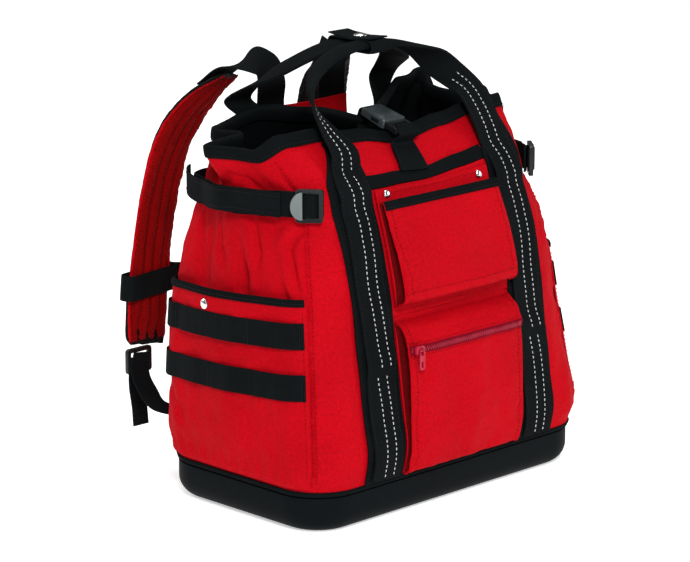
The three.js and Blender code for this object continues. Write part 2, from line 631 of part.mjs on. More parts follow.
// Side straps, drawn in by a ladder lock at the front end, with a loose end at the back
const SIDE_STRAP_HEIGHT = 306;
const SIDE_STRAP_FRONT = 0.285;
const SIDE_STRAP_REAR = 0.76;
const SIDE_STRAP_OUT = 4.6;
const SIDE_STRAP_BOW = 6;
const SIDE_STRAP_FALL = 8; // how much lower its rear end lies
const LOCK_PLACE = 0.312;
const strapPlaces = placesBetween(SIDE_STRAP_FRONT, SIDE_STRAP_REAR);
const strapTop = SIDE_STRAP_HEIGHT + NARROW_WEBBING / 2;
const strapBottom = SIDE_STRAP_HEIGHT - NARROW_WEBBING / 2;
function strapPoint(side, place, height, out) {
  const t = (place - SIDE_STRAP_FRONT) / (SIDE_STRAP_REAR - SIDE_STRAP_FRONT);
  const bow = SIDE_STRAP_BOW * Math.sin(Math.PI * t) ** 2;
  const fall = SIDE_STRAP_FALL * t;
  const point = skin(place, SIDE_STRAP_HEIGHT - fall, SIDE_STRAP_OUT + bow + out);
  point.z = height - fall;
  point.x *= side;
  return point;
}
function sideStrapGeometry(side) {
  const places = side > 0 ? strapPlaces : [...strapPlaces].reverse();
  const layer = (out) => [strapBottom, strapTop].map((h) => places.map((p) => strapPoint(side, p, h, out)));
  return wallGeometry(layer(WEBBING), layer(0));
}
const LOOSE_FROM = 0.5; // place where the loose end leaves the ladder lock's return
const LOOSE_TO = 0.7;
function looseEndGeometry(side) {
  const places = placesBetween(LOOSE_FROM, LOOSE_TO);
  const run = side > 0 ? places : [...places].reverse();
  const out = (p) => WEBBING + SKIN_GAP + (6 * (p - LOOSE_FROM)) / (LOOSE_TO - LOOSE_FROM);
  const layer = (more) =>
    [strapBottom, strapTop - 1].map((h) => run.map((p) => strapPoint(side, p, h, out(p) + more)));
  return wallGeometry(layer(WEBBING), layer(0));
}

// A flat buckle frame: a rounded plate with slots, lying in a plane
function frameShape(width, height, radius) {
  const shape = new THREE.Shape();
  const [w, h] = [width / 2, height / 2];
  shape.moveTo(-w + radius, -h);
  shape.lineTo(w - radius, -h);
  shape.absarc(w - radius, -h + radius, radius, -Math.PI / 2, 0);
  shape.lineTo(w, h - radius);
  shape.absarc(w - radius, h - radius, radius, 0, Math.PI / 2);
  shape.lineTo(-w + radius, h);
  shape.absarc(-w + radius, h - radius, radius, Math.PI / 2, Math.PI);
  shape.lineTo(-w, -h + radius);
  shape.absarc(-w + radius, -h + radius, radius, Math.PI, Math.PI * 1.5);
  return shape;
}
function slot(cx, cy, width, height) {
  const hole = new THREE.Path();
  hole.moveTo(cx - width / 2, cy - height / 2);
  hole.lineTo(cx - width / 2, cy + height / 2);
  hole.lineTo(cx + width / 2, cy + height / 2);
  hole.lineTo(cx + width / 2, cy - height / 2);
  return hole;
}
const LOCK_LENGTH = 26;
const LOCK_WIDTH = 32;
const LOCK_THICKNESS = 5;
function ladderLockGeometry() {
  const shape = frameShape(LOCK_LENGTH, LOCK_WIDTH, 3);
  const opening = LOCK_WIDTH - 8;
  shape.holes.push(slot(-6, 0, 5, opening), slot(6, 0, 5, opening - 1));
  const made = new THREE.ExtrudeGeometry(shape, { depth: LOCK_THICKNESS, bevelEnabled: false, curveSegments: 3 });
  return made.translate(0, 0, -LOCK_THICKNESS / 2);
}
// Places a flat geometry: its own x along one direction, its own z towards another.
function placed(geometry, at, along, out) {
  const z = out.clone().normalize();
  const x = along.clone().addScaledVector(z, -along.dot(z)).normalize();
  const y = z.clone().cross(x);
  return geometry.applyMatrix4(new THREE.Matrix4().makeBasis(x, y, z).setPosition(at));
}

// The centre strap up the leaning front, and the side-release buckle that draws the back forward
const CENTRE_FOOT = FLAT_POCKET_TOP + 11.5;
const BUCKLE_LOW = { y: -42, z: 356 };
const BUCKLE_HIGH = { y: 9, z: 371 };
const BUCKLE_WIDTH = 31;
const BUCKLE_THICKNESS = 8;
const buckleAlong = vector(0, BUCKLE_HIGH.y - BUCKLE_LOW.y, BUCKLE_HIGH.z - BUCKLE_LOW.z);
const buckleLength = buckleAlong.length();
const buckleOut = vector(0, -buckleAlong.z, buckleAlong.y);
const onBuckle = (share) => vector(0, BUCKLE_LOW.y, BUCKLE_LOW.z).addScaledVector(buckleAlong, share);
const BUCKLE_SPLIT = 0.46; // share of the length that is the male half with its ladder
function buckleHalf(from, to, width, slots) {
  const length = (to - from) * buckleLength;
  const shape = frameShape(length, width, 3);
  for (const [share, span, less] of slots) {
    shape.holes.push(slot((share - 0.5) * length, 0, span, width - 8 - less));
  }
  const made = new THREE.ExtrudeGeometry(shape, { depth: BUCKLE_THICKNESS, bevelEnabled: false, curveSegments: 3 });
  made.translate(0, 0, -BUCKLE_THICKNESS / 2);
  return placed(made, onBuckle((from + to) / 2), buckleAlong, buckleOut);
}
function centreStrapGeometry() {
  const heights = heightsBetween(CENTRE_FOOT, BODY_TOP - RIM_BINDING_HEIGHT - 4);
  return verticalStrip({
    from: 0, start: -NARROW_WEBBING / 2, end: NARROW_WEBBING / 2, columns: 2, heights,
    inside: 3, outside: 3 + WEBBING,
  });
}

// The tab that joins both handles, a flattened ring of webbing with a snap on top
const TAB_WIDTH = 28;
const TAB_CENTRE = -8;
const TAB_ROOM = 0.5;
const TAB_END_ROOM = 7;
const TAB_SLACK = 4; // below the handles, which slope away from the top
const TAB_SNAP_Y = 14;
function tabGeometry() {
  const room = GRIP_WIDTH / 2 + TAB_END_ROOM;
  const front = FRONT_ARCH[FRONT_ARCH.length - 1].y - room;
  const back = REAR_ARCH[REAR_ARCH.length - 1].y + room;
  const top = FRONT_ARCH[FRONT_ARCH.length - 1].z + WEBBING / 2 + RIBBON_BOW + TAB_ROOM;
  const low = FRONT_ARCH[FRONT_ARCH.length - 1].z - WEBBING - TAB_ROOM - TAB_SLACK;
  const section = (x, grow) => {
    const ring = frameShape(back - front + 2 * grow, top - low + 2 * grow, 2 + grow).getPoints(2).slice(0, -1);
    return ring.map((p) => vector(x, (front + back) / 2 + p.x, (low + top) / 2 + p.y));
  };
  const ends = [TAB_CENTRE - TAB_WIDTH / 2, TAB_CENTRE + TAB_WIDTH / 2];
  const outer = ends.map((x) => section(x, WEBBING));
  const inner = ends.map((x) => section(x, 0));
  return { geometry: ringsGeometry([outer[1], inner[1], inner[0], outer[0]], false), top: top + WEBBING };
}

const RIVET_HEIGHT = 307;
const rivetPlace = walk(0, 64, RIVET_HEIGHT);
const SNAP_PLACE = 0.54;
const SNAP_BELOW_MOUTH = 14.5; // from the side pocket's mouth down to its snap's middle
const SNAP_HEIGHT = SIDE_POCKET_MOUTH - SNAP_BELOW_MOUTH;
// Small round snaps and rivets: a low dome, its axis along local z
function domeGeometry(radius, height) {
  const points = [
    [0, 0],
    [radius, 0],
    [radius, height * 0.4],
    [radius * 0.7, height * 0.85],
    [0, height],
  ].map(([x, y]) => new THREE.Vector2(x, y));
  return new THREE.LatheGeometry(points, 14).rotateX(Math.PI / 2);
}

// Shoulder straps: a padded part between two lengths of webbing, each a ribbon in the air
const PAD_WIDTH = 70;
const PAD_THICKNESS = 12;
const PAD_PATH = [
  { x: 70, y: 128, z: 398, width: 44, lean: -0.1 },
  { x: 82, y: 150, z: 380, width: 62, lean: -0.1 },
  { x: 95, y: 170, z: 353, width: 70, lean: -0.1 },
  { x: 105, y: 184, z: 318, width: 70, lean: -0.12 },
  { x: 114, y: 192, z: 274, width: 70, lean: -0.14 },
  { x: 121, y: 195, z: 228, width: 70, lean: -0.15 },
  { x: 129, y: 193, z: 178, width: 70, lean: -0.16 },
  { x: 137, y: 186, z: 124, width: 68, lean: -0.16 },
];
// A point on the pad's outer face, at one of the rows of its path.
function onPad(i, out) {
  const [row, ahead, behind] = [PAD_PATH[i], PAD_PATH[i + 1], PAD_PATH[Math.max(i - 1, 0)]];
  const along = vector(ahead.x - behind.x, ahead.y - behind.y, ahead.z - behind.z).normalize();
  const normal = vector(1, row.lean, 0).cross(along).normalize();
  const at = vector(row.x, row.y, row.z).addScaledVector(normal, PAD_THICKNESS / 2 + out);
  return { x: at.x, y: at.y, z: at.z, lean: row.lean };
}
// The yoke that backs the straps' roots: sewn to the bag low down and standing straight above
const YOKE = { half: 62, sewn: 286, leaves: 298, top: 372, thickness: 1.6 };
const yokeColumn = (x, height, out) => skin(walk(1, -Math.abs(x), height), height, SKIN_GAP + out);
const yokeBack = (x) => yokeColumn(x, YOKE.leaves, YOKE.thickness).y;
const STRAP_ROOT_X = 42;
const ROOT_WIDTH = 36;
const rootY = yokeBack(STRAP_ROOT_X + ROOT_WIDTH / 2) + SKIN_GAP / 2 + WEBBING / 2;
const PAD_TOP_STRAP = [
  { x: STRAP_ROOT_X, y: rootY, z: YOKE.top - 26, lean: 0 },
  { x: STRAP_ROOT_X, y: rootY, z: YOKE.top - 2, lean: 0 },
  { x: STRAP_ROOT_X, y: rootY - 1, z: 392, lean: 0 },
  { x: 45, y: rootY + 2, z: 406, lean: -0.05 },
  { x: 53, y: 110, z: 412, lean: -0.1 },
  onPad(0, 1.6),
  onPad(1, 1.6),
].map((row) => ({ ...row, width: ROOT_WIDTH }));
const footPoint = skin(0.757, 64, 0);
const footOfStrap = { x: footPoint.x, y: footPoint.y + 1.2 * SKIN_GAP, z: footPoint.z };
const LOWER_STRAP = [
  { x: 141, y: 190, z: 117, width: 25, lean: -0.16 },
  { x: 144, y: 190, z: 99, width: 25, lean: -0.16 },
  { x: 151, y: 172, z: 84, width: 25, lean: -0.2 },
  { x: 157, y: 146, z: 73, width: 25, lean: -0.2 },
  { ...footOfStrap, y: footOfStrap.y + 14, z: 67, width: 25, lean: 0 },
  { ...footOfStrap, width: 25, lean: 0 },
];
function freeRibbon(side, table, thickness, columns = 2) {
  const rows = table.map((row) => ({
    at: vector(side * row.x, row.y, row.z),
    across: vector(side, row.lean * 1, 0),
    width: row.width,
  }));
  const face = (sign) =>
    rows.map((row, i) => {
      const along = rows[Math.min(i + 1, rows.length - 1)].at.clone().sub(rows[Math.max(i - 1, 0)].at).normalize();
      const across = row.across.clone().addScaledVector(along, -row.across.dot(along)).normalize();
      const out = across.clone().cross(along).normalize();
      return Array.from({ length: columns + 1 }, (_, c) => {
        const k = c / columns - 0.5;
        const round = thickness > 3 ? 0.35 + 0.65 * Math.sqrt(1 - (2 * k) ** 2 * 0.98) : 1;
        return row.at
          .clone()
          .addScaledVector(across, k * row.width)
          .addScaledVector(out, (sign * thickness * round) / 2);
      });
    });
  return wallGeometry(face(1), face(-1));
}

// A point and the outward direction on a shoulder pad, at a height
function padAt(height) {
  const row = rowAt([...PAD_PATH].reverse(), "z", height);
  const i = PAD_PATH.findIndex((r) => r.z < height);
  const [a, b] = [PAD_PATH[i - 1], PAD_PATH[i]];
  const along = vector(b.x - a.x, b.y - a.y, b.z - a.z).normalize();
  return { at: vector(row.x, row.y, height), along, across: vector(1, row.lean, 0) };
}
// The band of webbing round a pad that carries the chest strap
const BAND_HEIGHT = 187;
const BAND_ROOM = 1.2;
function padBandGeometry(side) {
  const width = PAD_WIDTH + 2 * BAND_ROOM;
  const depth = PAD_THICKNESS + 2 * BAND_ROOM;
  const section = (height, grow) => {
    const { at, along, across } = padAt(height);
    const out = across.clone().cross(along).normalize();
    const flat = across.clone().normalize();
    const ring = frameShape(width + 2 * grow, depth + 2 * grow, 4).getPoints(2).slice(0, -1);
    return ring
      .map((p) => at.clone().addScaledVector(flat, p.x).addScaledVector(out, -p.y))
      .map((p) => vector(side * p.x, p.y, p.z));
  };
  const low = BAND_HEIGHT - NARROW_WEBBING / 2;
  const high = BAND_HEIGHT + NARROW_WEBBING / 2;
  const rings = [section(low, WEBBING), section(high, WEBBING), section(high, 0), section(low, 0)];
  return ringsGeometry(side < 0 ? rings : rings.map((r) => [...r].reverse()), false);
}
// The chest strap hangs between the bands, joined by a flat buckle at its middle.
const CHEST_SAG = 9;
const CHEST_BUCKLE = { width: 44, height: 30, thickness: 7 };
function chestStrapGeometry(side) {
  const { at } = padAt(BAND_HEIGHT);
  const start = at.x - PAD_WIDTH / 2 - BAND_ROOM - WEBBING - 2.2;
  const steps = 6;
  const face = (y) =>
    [-0.5, 0.5].map((k) =>
      Array.from({ length: steps + 1 }, (_, i) => {
        const x = lerp(CHEST_BUCKLE.width / 2 + 0.5, start, i / steps);
        const sag = CHEST_SAG * (1 - (x / start) ** 2);
        return vector(side * x, at.y + 5 + y, BAND_HEIGHT + k * NARROW_WEBBING - sag);
      }),
    );
  const turn = (rows) => (side > 0 ? rows.map((row) => row.reverse()) : rows);
  return wallGeometry(turn(face(WEBBING)), turn(face(0)));
}
function buckleBlock({ width, height, thickness }) {
  const shape = frameShape(width, height, 5);
  const made = new THREE.ExtrudeGeometry(shape, { depth: thickness, bevelEnabled: false, curveSegments: 3 });
  return made.translate(0, 0, -thickness / 2);
}
function yokeGeometry() {
  const columns = [1, 0.5, 0, -0.5, -1].map((k) => k * YOKE.half);
  const at = (x, height, rise, out) => {
    const point = yokeColumn(x, height, out);
    return vector(Math.sign(x) * Math.abs(point.x), point.y, point.z + rise);
  };
  const rises = [1, 2, 3].map((i) => ((YOKE.top - YOKE.leaves) * i) / 3);
  const layer = (out) => [
    columns.map((x) => at(x, YOKE.sewn, 0, out)),
    ...[0, ...rises].map((rise) => columns.map((x) => at(x, YOKE.leaves, rise, out))),
  ];
  return wallGeometry(layer(YOKE.thickness), layer(0));
}
// The zip's slider and its puller, which hangs from a hinge along the slider's front
const SLIDER = { width: 11, height: 9, thickness: 4 };
const PULLER = { width: 7, length: 20, thickness: 1.6 };
const HINGE_ROOM = 0.7;
const PULLER_EYE = 0.8; // how far the puller reaches above its hinge
const sliderSide = -0.9;
const sliderRow = { ...rowAt(ZIP_POCKET_ROWS, "height", ZIP_HEIGHT - ZIP_TAPE / 2), height: ZIP_HEIGHT - ZIP_TAPE / 2 };
const sliderAt = pocketPoint(sliderSide, sliderRow, ZIP_POCKET_HALF, ZIP_THICKNESS + 2 * SKIN_GAP + SLIDER.thickness / 2);
const hingeY = sliderAt.y - SLIDER.thickness / 2 - HINGE_ROOM - PULLER.thickness / 2;
function pullerGeometry() {
  const shape = frameShape(PULLER.width, PULLER.length, 2);
  const made = new THREE.ExtrudeGeometry(shape, { depth: PULLER.thickness, bevelEnabled: false, curveSegments: 2 });
  made.translate(0, -PULLER.length / 2 + PULLER_EYE, -PULLER.thickness / 2);
  return made.rotateX(Math.PI / 2);
}

const root = new THREE.Group();
const MATERIALS = {
  cloth: { color: 0xc3131f, roughness: 0.85, metalness: 0 },
  lining: { color: 0x111114, roughness: 0.9, metalness: 0 },
  webbing: { color: 0x141416, roughness: 0.75, metalness: 0 },
  rubber: { color: 0x15171b, roughness: 0.55, metalness: 0 },
  plastic: { color: 0x17181a, roughness: 0.35, metalness: 0 },
  metal: { color: 0xc9cbd0, roughness: 0.2, metalness: 1 },
  zip: { color: 0x9c1020, roughness: 0.6, metalness: 0 },
};
function add(name, material, geometry) {
  const mesh = new THREE.Mesh(geometry, new THREE.MeshStandardMaterial(MATERIALS[material]));
  mesh.name = name;
  root.add(mesh);
  return mesh;
}
add("base_tray", "rubber", trayGeometry());
add("bag_body", "cloth", tubeGeometry(LEVELS, 0, -BODY_WALL));
const liningLevels = LEVELS.filter((_, i) => i > 2 && i < LEVELS.length - 1);
add("bag_lining", "lining", tubeGeometry([...liningLevels, BODY_TOP - 0.5], LINING_OUT, LINING_OUT - LINING_WALL));
add("rim_binding", "webbing", rimBindingGeometry());
add("base_band", "webbing", tubeGeometry([LEVELS[2] + 0.6, BASE_BAND_TOP], SKIN_GAP / 2 + BINDING_WALL, SKIN_GAP / 2));
add("flat_pocket", "cloth", flatPanel(FLAT_POCKET_HALF, FLAT_POCKET_BOTTOM, FLAT_POCKET_TOP, SKIN_GAP, CLOTH));
add(
  "front_pocket_back",
  "cloth",
  flatPanel(FLAT_POCKET_HALF, POCKET_BOTTOM - 4, POCKET_BACK_TOP, SKIN_GAP + LAYER, CLOTH),
);
add("front_pocket", "cloth", pocketGeometry(FRONT_POCKET_ROWS, POCKET_HALF));
add("zip_pocket", "cloth", pocketGeometry(ZIP_POCKET_ROWS, ZIP_POCKET_HALF));
add("front_pocket_binding", "webbing",
  pocketBand(FRONT_POCKET_ROWS, POCKET_HALF, POCKET_MOUTH - MOUTH_BINDING, POCKET_MOUTH - 0.5, LAYER_GAP, 1.2));
add("zip_tape", "zip",
  pocketBand(ZIP_POCKET_ROWS, ZIP_POCKET_HALF, ZIP_HEIGHT - ZIP_TAPE, ZIP_HEIGHT - 0.5, LAYER_GAP, ZIP_THICKNESS));
add("flat_pocket_binding", "webbing",
  flatPanel(FLAT_POCKET_HALF, FLAT_POCKET_TOP + 0.6, FLAT_POCKET_TOP + 11, SKIN_GAP, 2.4));
for (const [name, side] of [["right", 1], ["left", -1]]) {
  add(`front_strap_${name}`, "webbing", frontStrapGeometry(side));
  add(`side_pocket_${name}`, "cloth", sidePocketGeometry(side));
  add(`side_pocket_binding_${name}`, "webbing", sideSheet(side, sideFace,
    [SIDE_POCKET_MOUTH - MOUTH_BINDING, SIDE_POCKET_MOUTH - 0.5], SKIN_GAP, SKIN_GAP + 1.2));
  add(`side_row_lower_${name}`, "webbing", sideRow(side, SIDE_ROWS[0].height));
  add(`side_row_upper_${name}`, "webbing", sideRow(side, SIDE_ROWS[1].height));
  add(`side_strap_${name}`, "webbing", sideStrapGeometry(side));
  add(`side_strap_end_${name}`, "webbing", looseEndGeometry(side));
  const lockAt = strapPoint(side, LOCK_PLACE, SIDE_STRAP_HEIGHT, WEBBING + SKIN_GAP + LOCK_THICKNESS / 2);
  const lockOut = gridNormal(side * LOCK_PLACE, SIDE_STRAP_HEIGHT).setZ(0);
  const lockAlong = vector(-lockOut.y, lockOut.x, 0);
  add(`ladder_lock_${name}`, "plastic", placed(ladderLockGeometry(), lockAt, lockAlong, lockOut));
  add(`shoulder_strap_${name}`, "webbing", freeRibbon(side, PAD_TOP_STRAP, WEBBING));
  add(`shoulder_pad_${name}`, "cloth", freeRibbon(side, PAD_PATH, PAD_THICKNESS, 6));
  add(`lower_strap_${name}`, "webbing", freeRibbon(side, LOWER_STRAP, WEBBING));
}
add("centre_strap", "webbing", centreStrapGeometry());
add("buckle_male", "plastic", buckleHalf(0, BUCKLE_SPLIT, BUCKLE_WIDTH - 4, [[0.22, 4, 0], [0.55, 4, 1]]));
add("buckle_female", "plastic", buckleHalf(BUCKLE_SPLIT + 0.01, 1, BUCKLE_WIDTH, [[0.88, 3.5, 0]]));
const tab = tabGeometry();
add("handle_tab", "webbing", tab.geometry);
add("tab_snap", "metal", domeGeometry(7, 3)).position.set(TAB_CENTRE, TAB_SNAP_Y, tab.top + LAYER_GAP);
for (const [name, side] of [["right", 1], ["left", -1]]) {
  const rivetAt = skin(side * rivetPlace, RIVET_HEIGHT, SKIN_GAP + LAYER + CLOTH + LAYER_GAP);
  add(`pocket_rivet_${name}`, "metal", placed(domeGeometry(4, 2), rivetAt, vector(1, 0, 0),
    gridNormal(side * rivetPlace, RIVET_HEIGHT)));
  const snapHeight = drooped(SNAP_PLACE, SNAP_HEIGHT);
  const snapOut = sidePocketOut(SNAP_PLACE, SNAP_HEIGHT) + LAYER_GAP + 0.4;
  add(`side_snap_${name}`, "metal", placed(domeGeometry(5, 2.2), skin(side * SNAP_PLACE, snapHeight, snapOut),
    vector(0, 1, 0), gridNormal(side * SNAP_PLACE, SNAP_HEIGHT)));
  add(`pad_band_${name}`, "webbing", padBandGeometry(side));
  add(`chest_strap_${name}`, "webbing", chestStrapGeometry(side));
  const lockRow = LOWER_STRAP[0];
  const lock = ladderLockGeometry();
  add(`lower_lock_${name}`, "plastic", placed(lock, vector(side * lockRow.x, lockRow.y + 5.4, lockRow.z - 9),
    vector(0, 0, 1), vector(0, 1, 0)));
}
add("chest_buckle", "plastic", buckleBlock(CHEST_BUCKLE).rotateX(Math.PI / 2)).position.set(
  0, padAt(BAND_HEIGHT).at.y + 5 + WEBBING / 2, BAND_HEIGHT - CHEST_SAG);
add("back_yoke", "cloth", yokeGeometry());
add("zip_slider", "zip", new THREE.BoxGeometry(SLIDER.width, SLIDER.thickness, SLIDER.height)).position.copy(sliderAt);
add("zip_pull", "zip", pullerGeometry()).position.set(
  sliderAt.x, hingeY, sliderAt.z);
add("front_handle", "webbing", frontHandle);
add("rear_handle", "webbing", rearHandle);

export default root;
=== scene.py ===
"""A tool backpack: its cloth, webbing, pads, buckles and tray, made in detail round the fixed frame."""

import math

import bmesh
import bpy
import numpy as np
from mathutils import Matrix, Vector


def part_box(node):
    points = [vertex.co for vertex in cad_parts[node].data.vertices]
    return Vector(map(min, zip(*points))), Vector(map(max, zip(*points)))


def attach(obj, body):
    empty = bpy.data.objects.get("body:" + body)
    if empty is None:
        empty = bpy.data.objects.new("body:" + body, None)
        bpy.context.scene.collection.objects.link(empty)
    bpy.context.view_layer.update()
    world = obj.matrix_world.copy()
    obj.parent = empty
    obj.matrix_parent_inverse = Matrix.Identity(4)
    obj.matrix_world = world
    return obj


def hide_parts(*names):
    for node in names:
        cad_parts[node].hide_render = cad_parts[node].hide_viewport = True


bl_info = {
    "name": "Tool backpack",
    "version": (1, 0, 0),
    "blender": (4, 5, 0),
    "location": "3D View > Sidebar > Backpack",
    "description": "Makes the cloth, webbing, pads and fittings of a tool backpack",
    "category": "Object",
}

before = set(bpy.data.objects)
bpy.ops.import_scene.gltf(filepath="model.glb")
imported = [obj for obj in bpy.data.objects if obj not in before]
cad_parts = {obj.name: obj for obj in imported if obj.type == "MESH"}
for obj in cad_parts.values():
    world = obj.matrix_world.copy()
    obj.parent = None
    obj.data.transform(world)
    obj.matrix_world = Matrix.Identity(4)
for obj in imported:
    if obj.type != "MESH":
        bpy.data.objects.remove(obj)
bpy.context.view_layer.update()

MM = 0.001
BODY_HEIGHT = 362.0
HALF_WIDTH = 190.0
HALF_DEPTH = 110.5
UNIT_ROUND = 575.0  # millimetres of cloth in one unit of place

# height, width, behind, front, back, corner, rear, pinch, cleft: the bag's sections
SECTION = np.array([
    (0.066, 0.981, 0.981, 0.966, 0.966, 0.4, 0.4, 0, 0),
    (0.101, 0.981, 0.981, 0.966, 0.966, 0.4, 0.4, 0, 0),
    (0.11, 1.0, 1.0, 1.01, 1.0, 0.42, 0.42, 0, 0),
    (0.13, 1.008, 1.005, 1.03, 1.01, 0.43, 0.42, 0, 0),
    (0.19, 1.014, 1.0, 1.055, 1.015, 0.42, 0.36, 0, 0),
    (0.28, 0.996, 0.98, 1.01, 1.02, 0.42, 0.32, 0, 0),
    (0.45, 0.958, 0.945, 0.925, 1.02, 0.42, 0.28, 0, 0),
    (0.61, 0.93, 0.91, 0.85, 1.015, 0.42, 0.26, 0, 0),
    (0.69, 0.91, 0.875, 0.79, 1.0, 0.43, 0.25, 0, 0),
    (0.76, 0.88, 0.83, 0.725, 0.98, 0.44, 0.25, 0.02, 0),
    (0.82, 0.85, 0.795, 0.66, 0.95, 0.44, 0.25, 0.08, 0.01),
    (0.87, 0.85, 0.78, 0.6, 0.92, 0.42, 0.25, 0.2, 0.06),
    (0.91, 0.865, 0.775, 0.49, 0.88, 0.38, 0.23, 0.36, 0.14),
    (0.972, 0.888, 0.791, 0.28, 0.824, 0.31, 0.2, 0.6, 0.22),
    (1.0, 0.9, 0.8, 0.2, 0.8, 0.28, 0.19, 0.7, 0.25),
])
# place, lift: the rim's rise and fall
RIM = np.array([
    (0, -0.025), (0.1, 0), (0.2, 0.022), (0.27, 0.02), (0.35, -0.022), (0.5, -0.02),
    (0.6, -0.014), (0.72, 0), (0.82, 0.045), (0.9, 0.035), (1, 0),
])
# place, top, bottom, half width, depth: gathers, as the frame has them
GATHERS = (
    (0.37, 0.8, 0.5, 0.09, 0.055),
    (0.47, 0.8, 0.58, 0.08, 0.06),
    (0.57, 0.8, 0.55, 0.08, 0.05),
)
# place, half width, lift in millimetres: where the rim stands up on the right
RIGHT_LIFTS = ((0.69, 0.08, 22), (0.42, 0.06, 14))
FRONT_END, CORNER_END, SIDE_END, REAR_END = 0.24, 0.38, 0.62, 0.74


def settings():
    """The looks that the panel holds."""
    return bpy.context.scene.backpack_looks


def smooth(t):
    """0 to 1 with level ends."""
    t = np.clip(t, 0.0, 1.0)
    return t * t * (3 - 2 * t)


def bell(t):
    """1 at 0, falling off on both sides."""
    return np.exp(-np.square(t))


def eased(xs, ys, x):
    """A smooth curve through a table's points that never swings past them."""
    xs, ys = np.asarray(xs, float), np.asarray(ys, float)
    step = np.diff(xs)
    rise = np.diff(ys) / step
    slope = np.zeros_like(ys)
    same = rise[:-1] * rise[1:] > 0
    total = np.where(same, rise[:-1] + rise[1:], 1)
    slope[1:-1] = np.where(same, 2 * rise[:-1] * rise[1:] / total, 0)
    slope[0], slope[-1] = rise[0], rise[-1]
    i = np.clip(np.searchsorted(xs, x, side="right") - 1, 0, len(xs) - 2)
    t = np.clip((x - xs[i]) / step[i], 0, 1)
    a, b = t * t * (3 - 2 * t), t * (1 - t)
    return ys[i] * (1 - a) + ys[i + 1] * a + step[i] * b * ((1 - t) * slope[i] - t * slope[i + 1])


def stepped(table, x):
    """A table's second column, blended smoothly from row to row."""
    i = np.clip(np.searchsorted(table[:, 0], x, side="right") - 1, 0, len(table) - 2)
    t = smooth((x - table[i, 0]) / (table[i + 1, 0] - table[i, 0]))
    return table[i, 1] * (1 - t) + table[i + 1, 1] * t


def waves(x, y, size, seed, count=7):
    """Soft random ripples about -1 to 1, the same at each run."""
    draw = np.random.default_rng(seed)
    total = 0.0
    for _ in range(count):
        turn, pace, start = draw.uniform(0, math.tau), draw.uniform(0.6, 1.5), draw.uniform(0, math.tau)
        total = total + np.sin((x * math.cos(turn) + y * math.sin(turn)) * pace * math.tau / size + start)
    return total / math.sqrt(count)


def gathered(p, share):
    """How far the gathers below the side straps draw the sides in."""
    total = 0.0
    for at, top, bottom, width, depth in GATHERS:
        span = np.clip((share - bottom) / (top - bottom), 0, 1)
        away = (p - at) * 2 * (HALF_WIDTH + HALF_DEPTH) / (width * HALF_DEPTH)
        total = total + depth * HALF_DEPTH * bell(away) * np.sin(math.pi * span**0.6)
    return total


def shape(place, height, plain=False):
    """Points of the bag's outer face. place runs 0 to 1 on the right from the front's middle to the
    back's, and 0 to -1 on the left. The plain form has no gathers."""
    place, height = np.broadcast_arrays(np.asarray(place, float), np.asarray(height, float))
    p, share = np.abs(place), height / BODY_HEIGHT
    cut = [eased(SECTION[:, 0], SECTION[:, k], share) for k in range(1, 9)]
    half, behind = cut[0] * HALF_WIDTH, cut[1] * HALF_WIDTH
    front, back, r, q = (c * HALF_DEPTH for c in cut[2:6])
    full = smooth((share - 0.11) / 0.14)
    flare = 18 * smooth((share - 0.86) / 0.14)
    corner = (p - FRONT_END) / (CORNER_END - FRONT_END) * math.pi / 2
    t = (p - CORNER_END) / (SIDE_END - CORNER_END)
    turn = (p - SIDE_END) / (REAR_END - SIDE_END) * math.pi / 2
    side = half + (behind - half) * smooth((t - 0.55) / 0.45)
    inside = np.clip(t, 0, 1)
    side = side + 4 * full * np.sin(math.pi * inside) + flare * np.sin(math.pi * inside**2)
    runs = [p <= FRONT_END, p <= CORNER_END, p <= SIDE_END, p <= REAR_END]
    x = np.select(runs, [
        (half - r) * p / FRONT_END,
        half - r + r * np.sin(corner),
        side,
        behind - q + q * np.cos(turn),
    ], (behind - q) * (1 - (p - REAR_END) / (1 - REAR_END)))
    y = np.select(runs, [
        -front,
        -front + r - r * np.cos(corner),
        -front + r + (back - q + front - r) * t,
        back - q + q * np.sin(turn),
    ], back)
    middle = np.maximum(1 - (x / half) ** 2, 0)
    y = y + np.where(p < 0.5, -1, 1) * 2.5 * full * middle * smooth(np.abs(p - 0.5) * 4)
    folded = (p > CORNER_END) & (p < REAR_END)
    cleft = cut[7] * HALF_WIDTH * np.where(place > 0, 0.2, 0.62)
    x = x - folded * cleft * bell((y - back + 27) / 12)
    y = y - (p > 0.5) * cut[6] * HALF_DEPTH * bell(x / 88)
    lift = stepped(RIM, p) * BODY_HEIGHT
    lift = lift + sum(rise * bell((place - at) / wide) for at, wide, rise in RIGHT_LIFTS)
    z = height + lift * smooth((share - 0.8) / 0.2)
    if not plain:
        x = x - gathered(p, share)
    return np.stack([x * np.where(place < 0, -1, 1), y, z], -1)


def unit(v):
    """Vectors of length 1."""
    return v / np.maximum(np.linalg.norm(v, axis=-1, keepdims=True), 1e-9)


def facing(place, height, plain=False):
    """The bag's outward direction at a place and height."""
    place, height = np.broadcast_arrays(np.asarray(place, float), np.asarray(height, float))
    along = shape(place + 0.004, height, plain) - shape(place - 0.004, height, plain)
    top = np.minimum(height + 2, BODY_HEIGHT)
    return unit(np.cross(along, shape(place, top, plain) - shape(place, top - 4, plain)))


def skin(place, height, out=0.0, plain=False):
    """Points that stand off the bag's outer face."""
    return shape(place, height, plain) + facing(place, height, plain) * np.asarray(out, float)[..., None]


ARC = np.linspace(0, 1, 401)


def reach(height, distance, back=False):
    """The places that lie distances to the right of the front's middle, or of the back's, at one height."""
    line = shape(ARC, height)
    run = lengths(line, 0)
    far = np.abs(distance)
    if back:
        return np.sign(distance) * np.interp(run[-1] - far, run, ARC)
    return np.sign(distance) * np.interp(far, run, ARC)


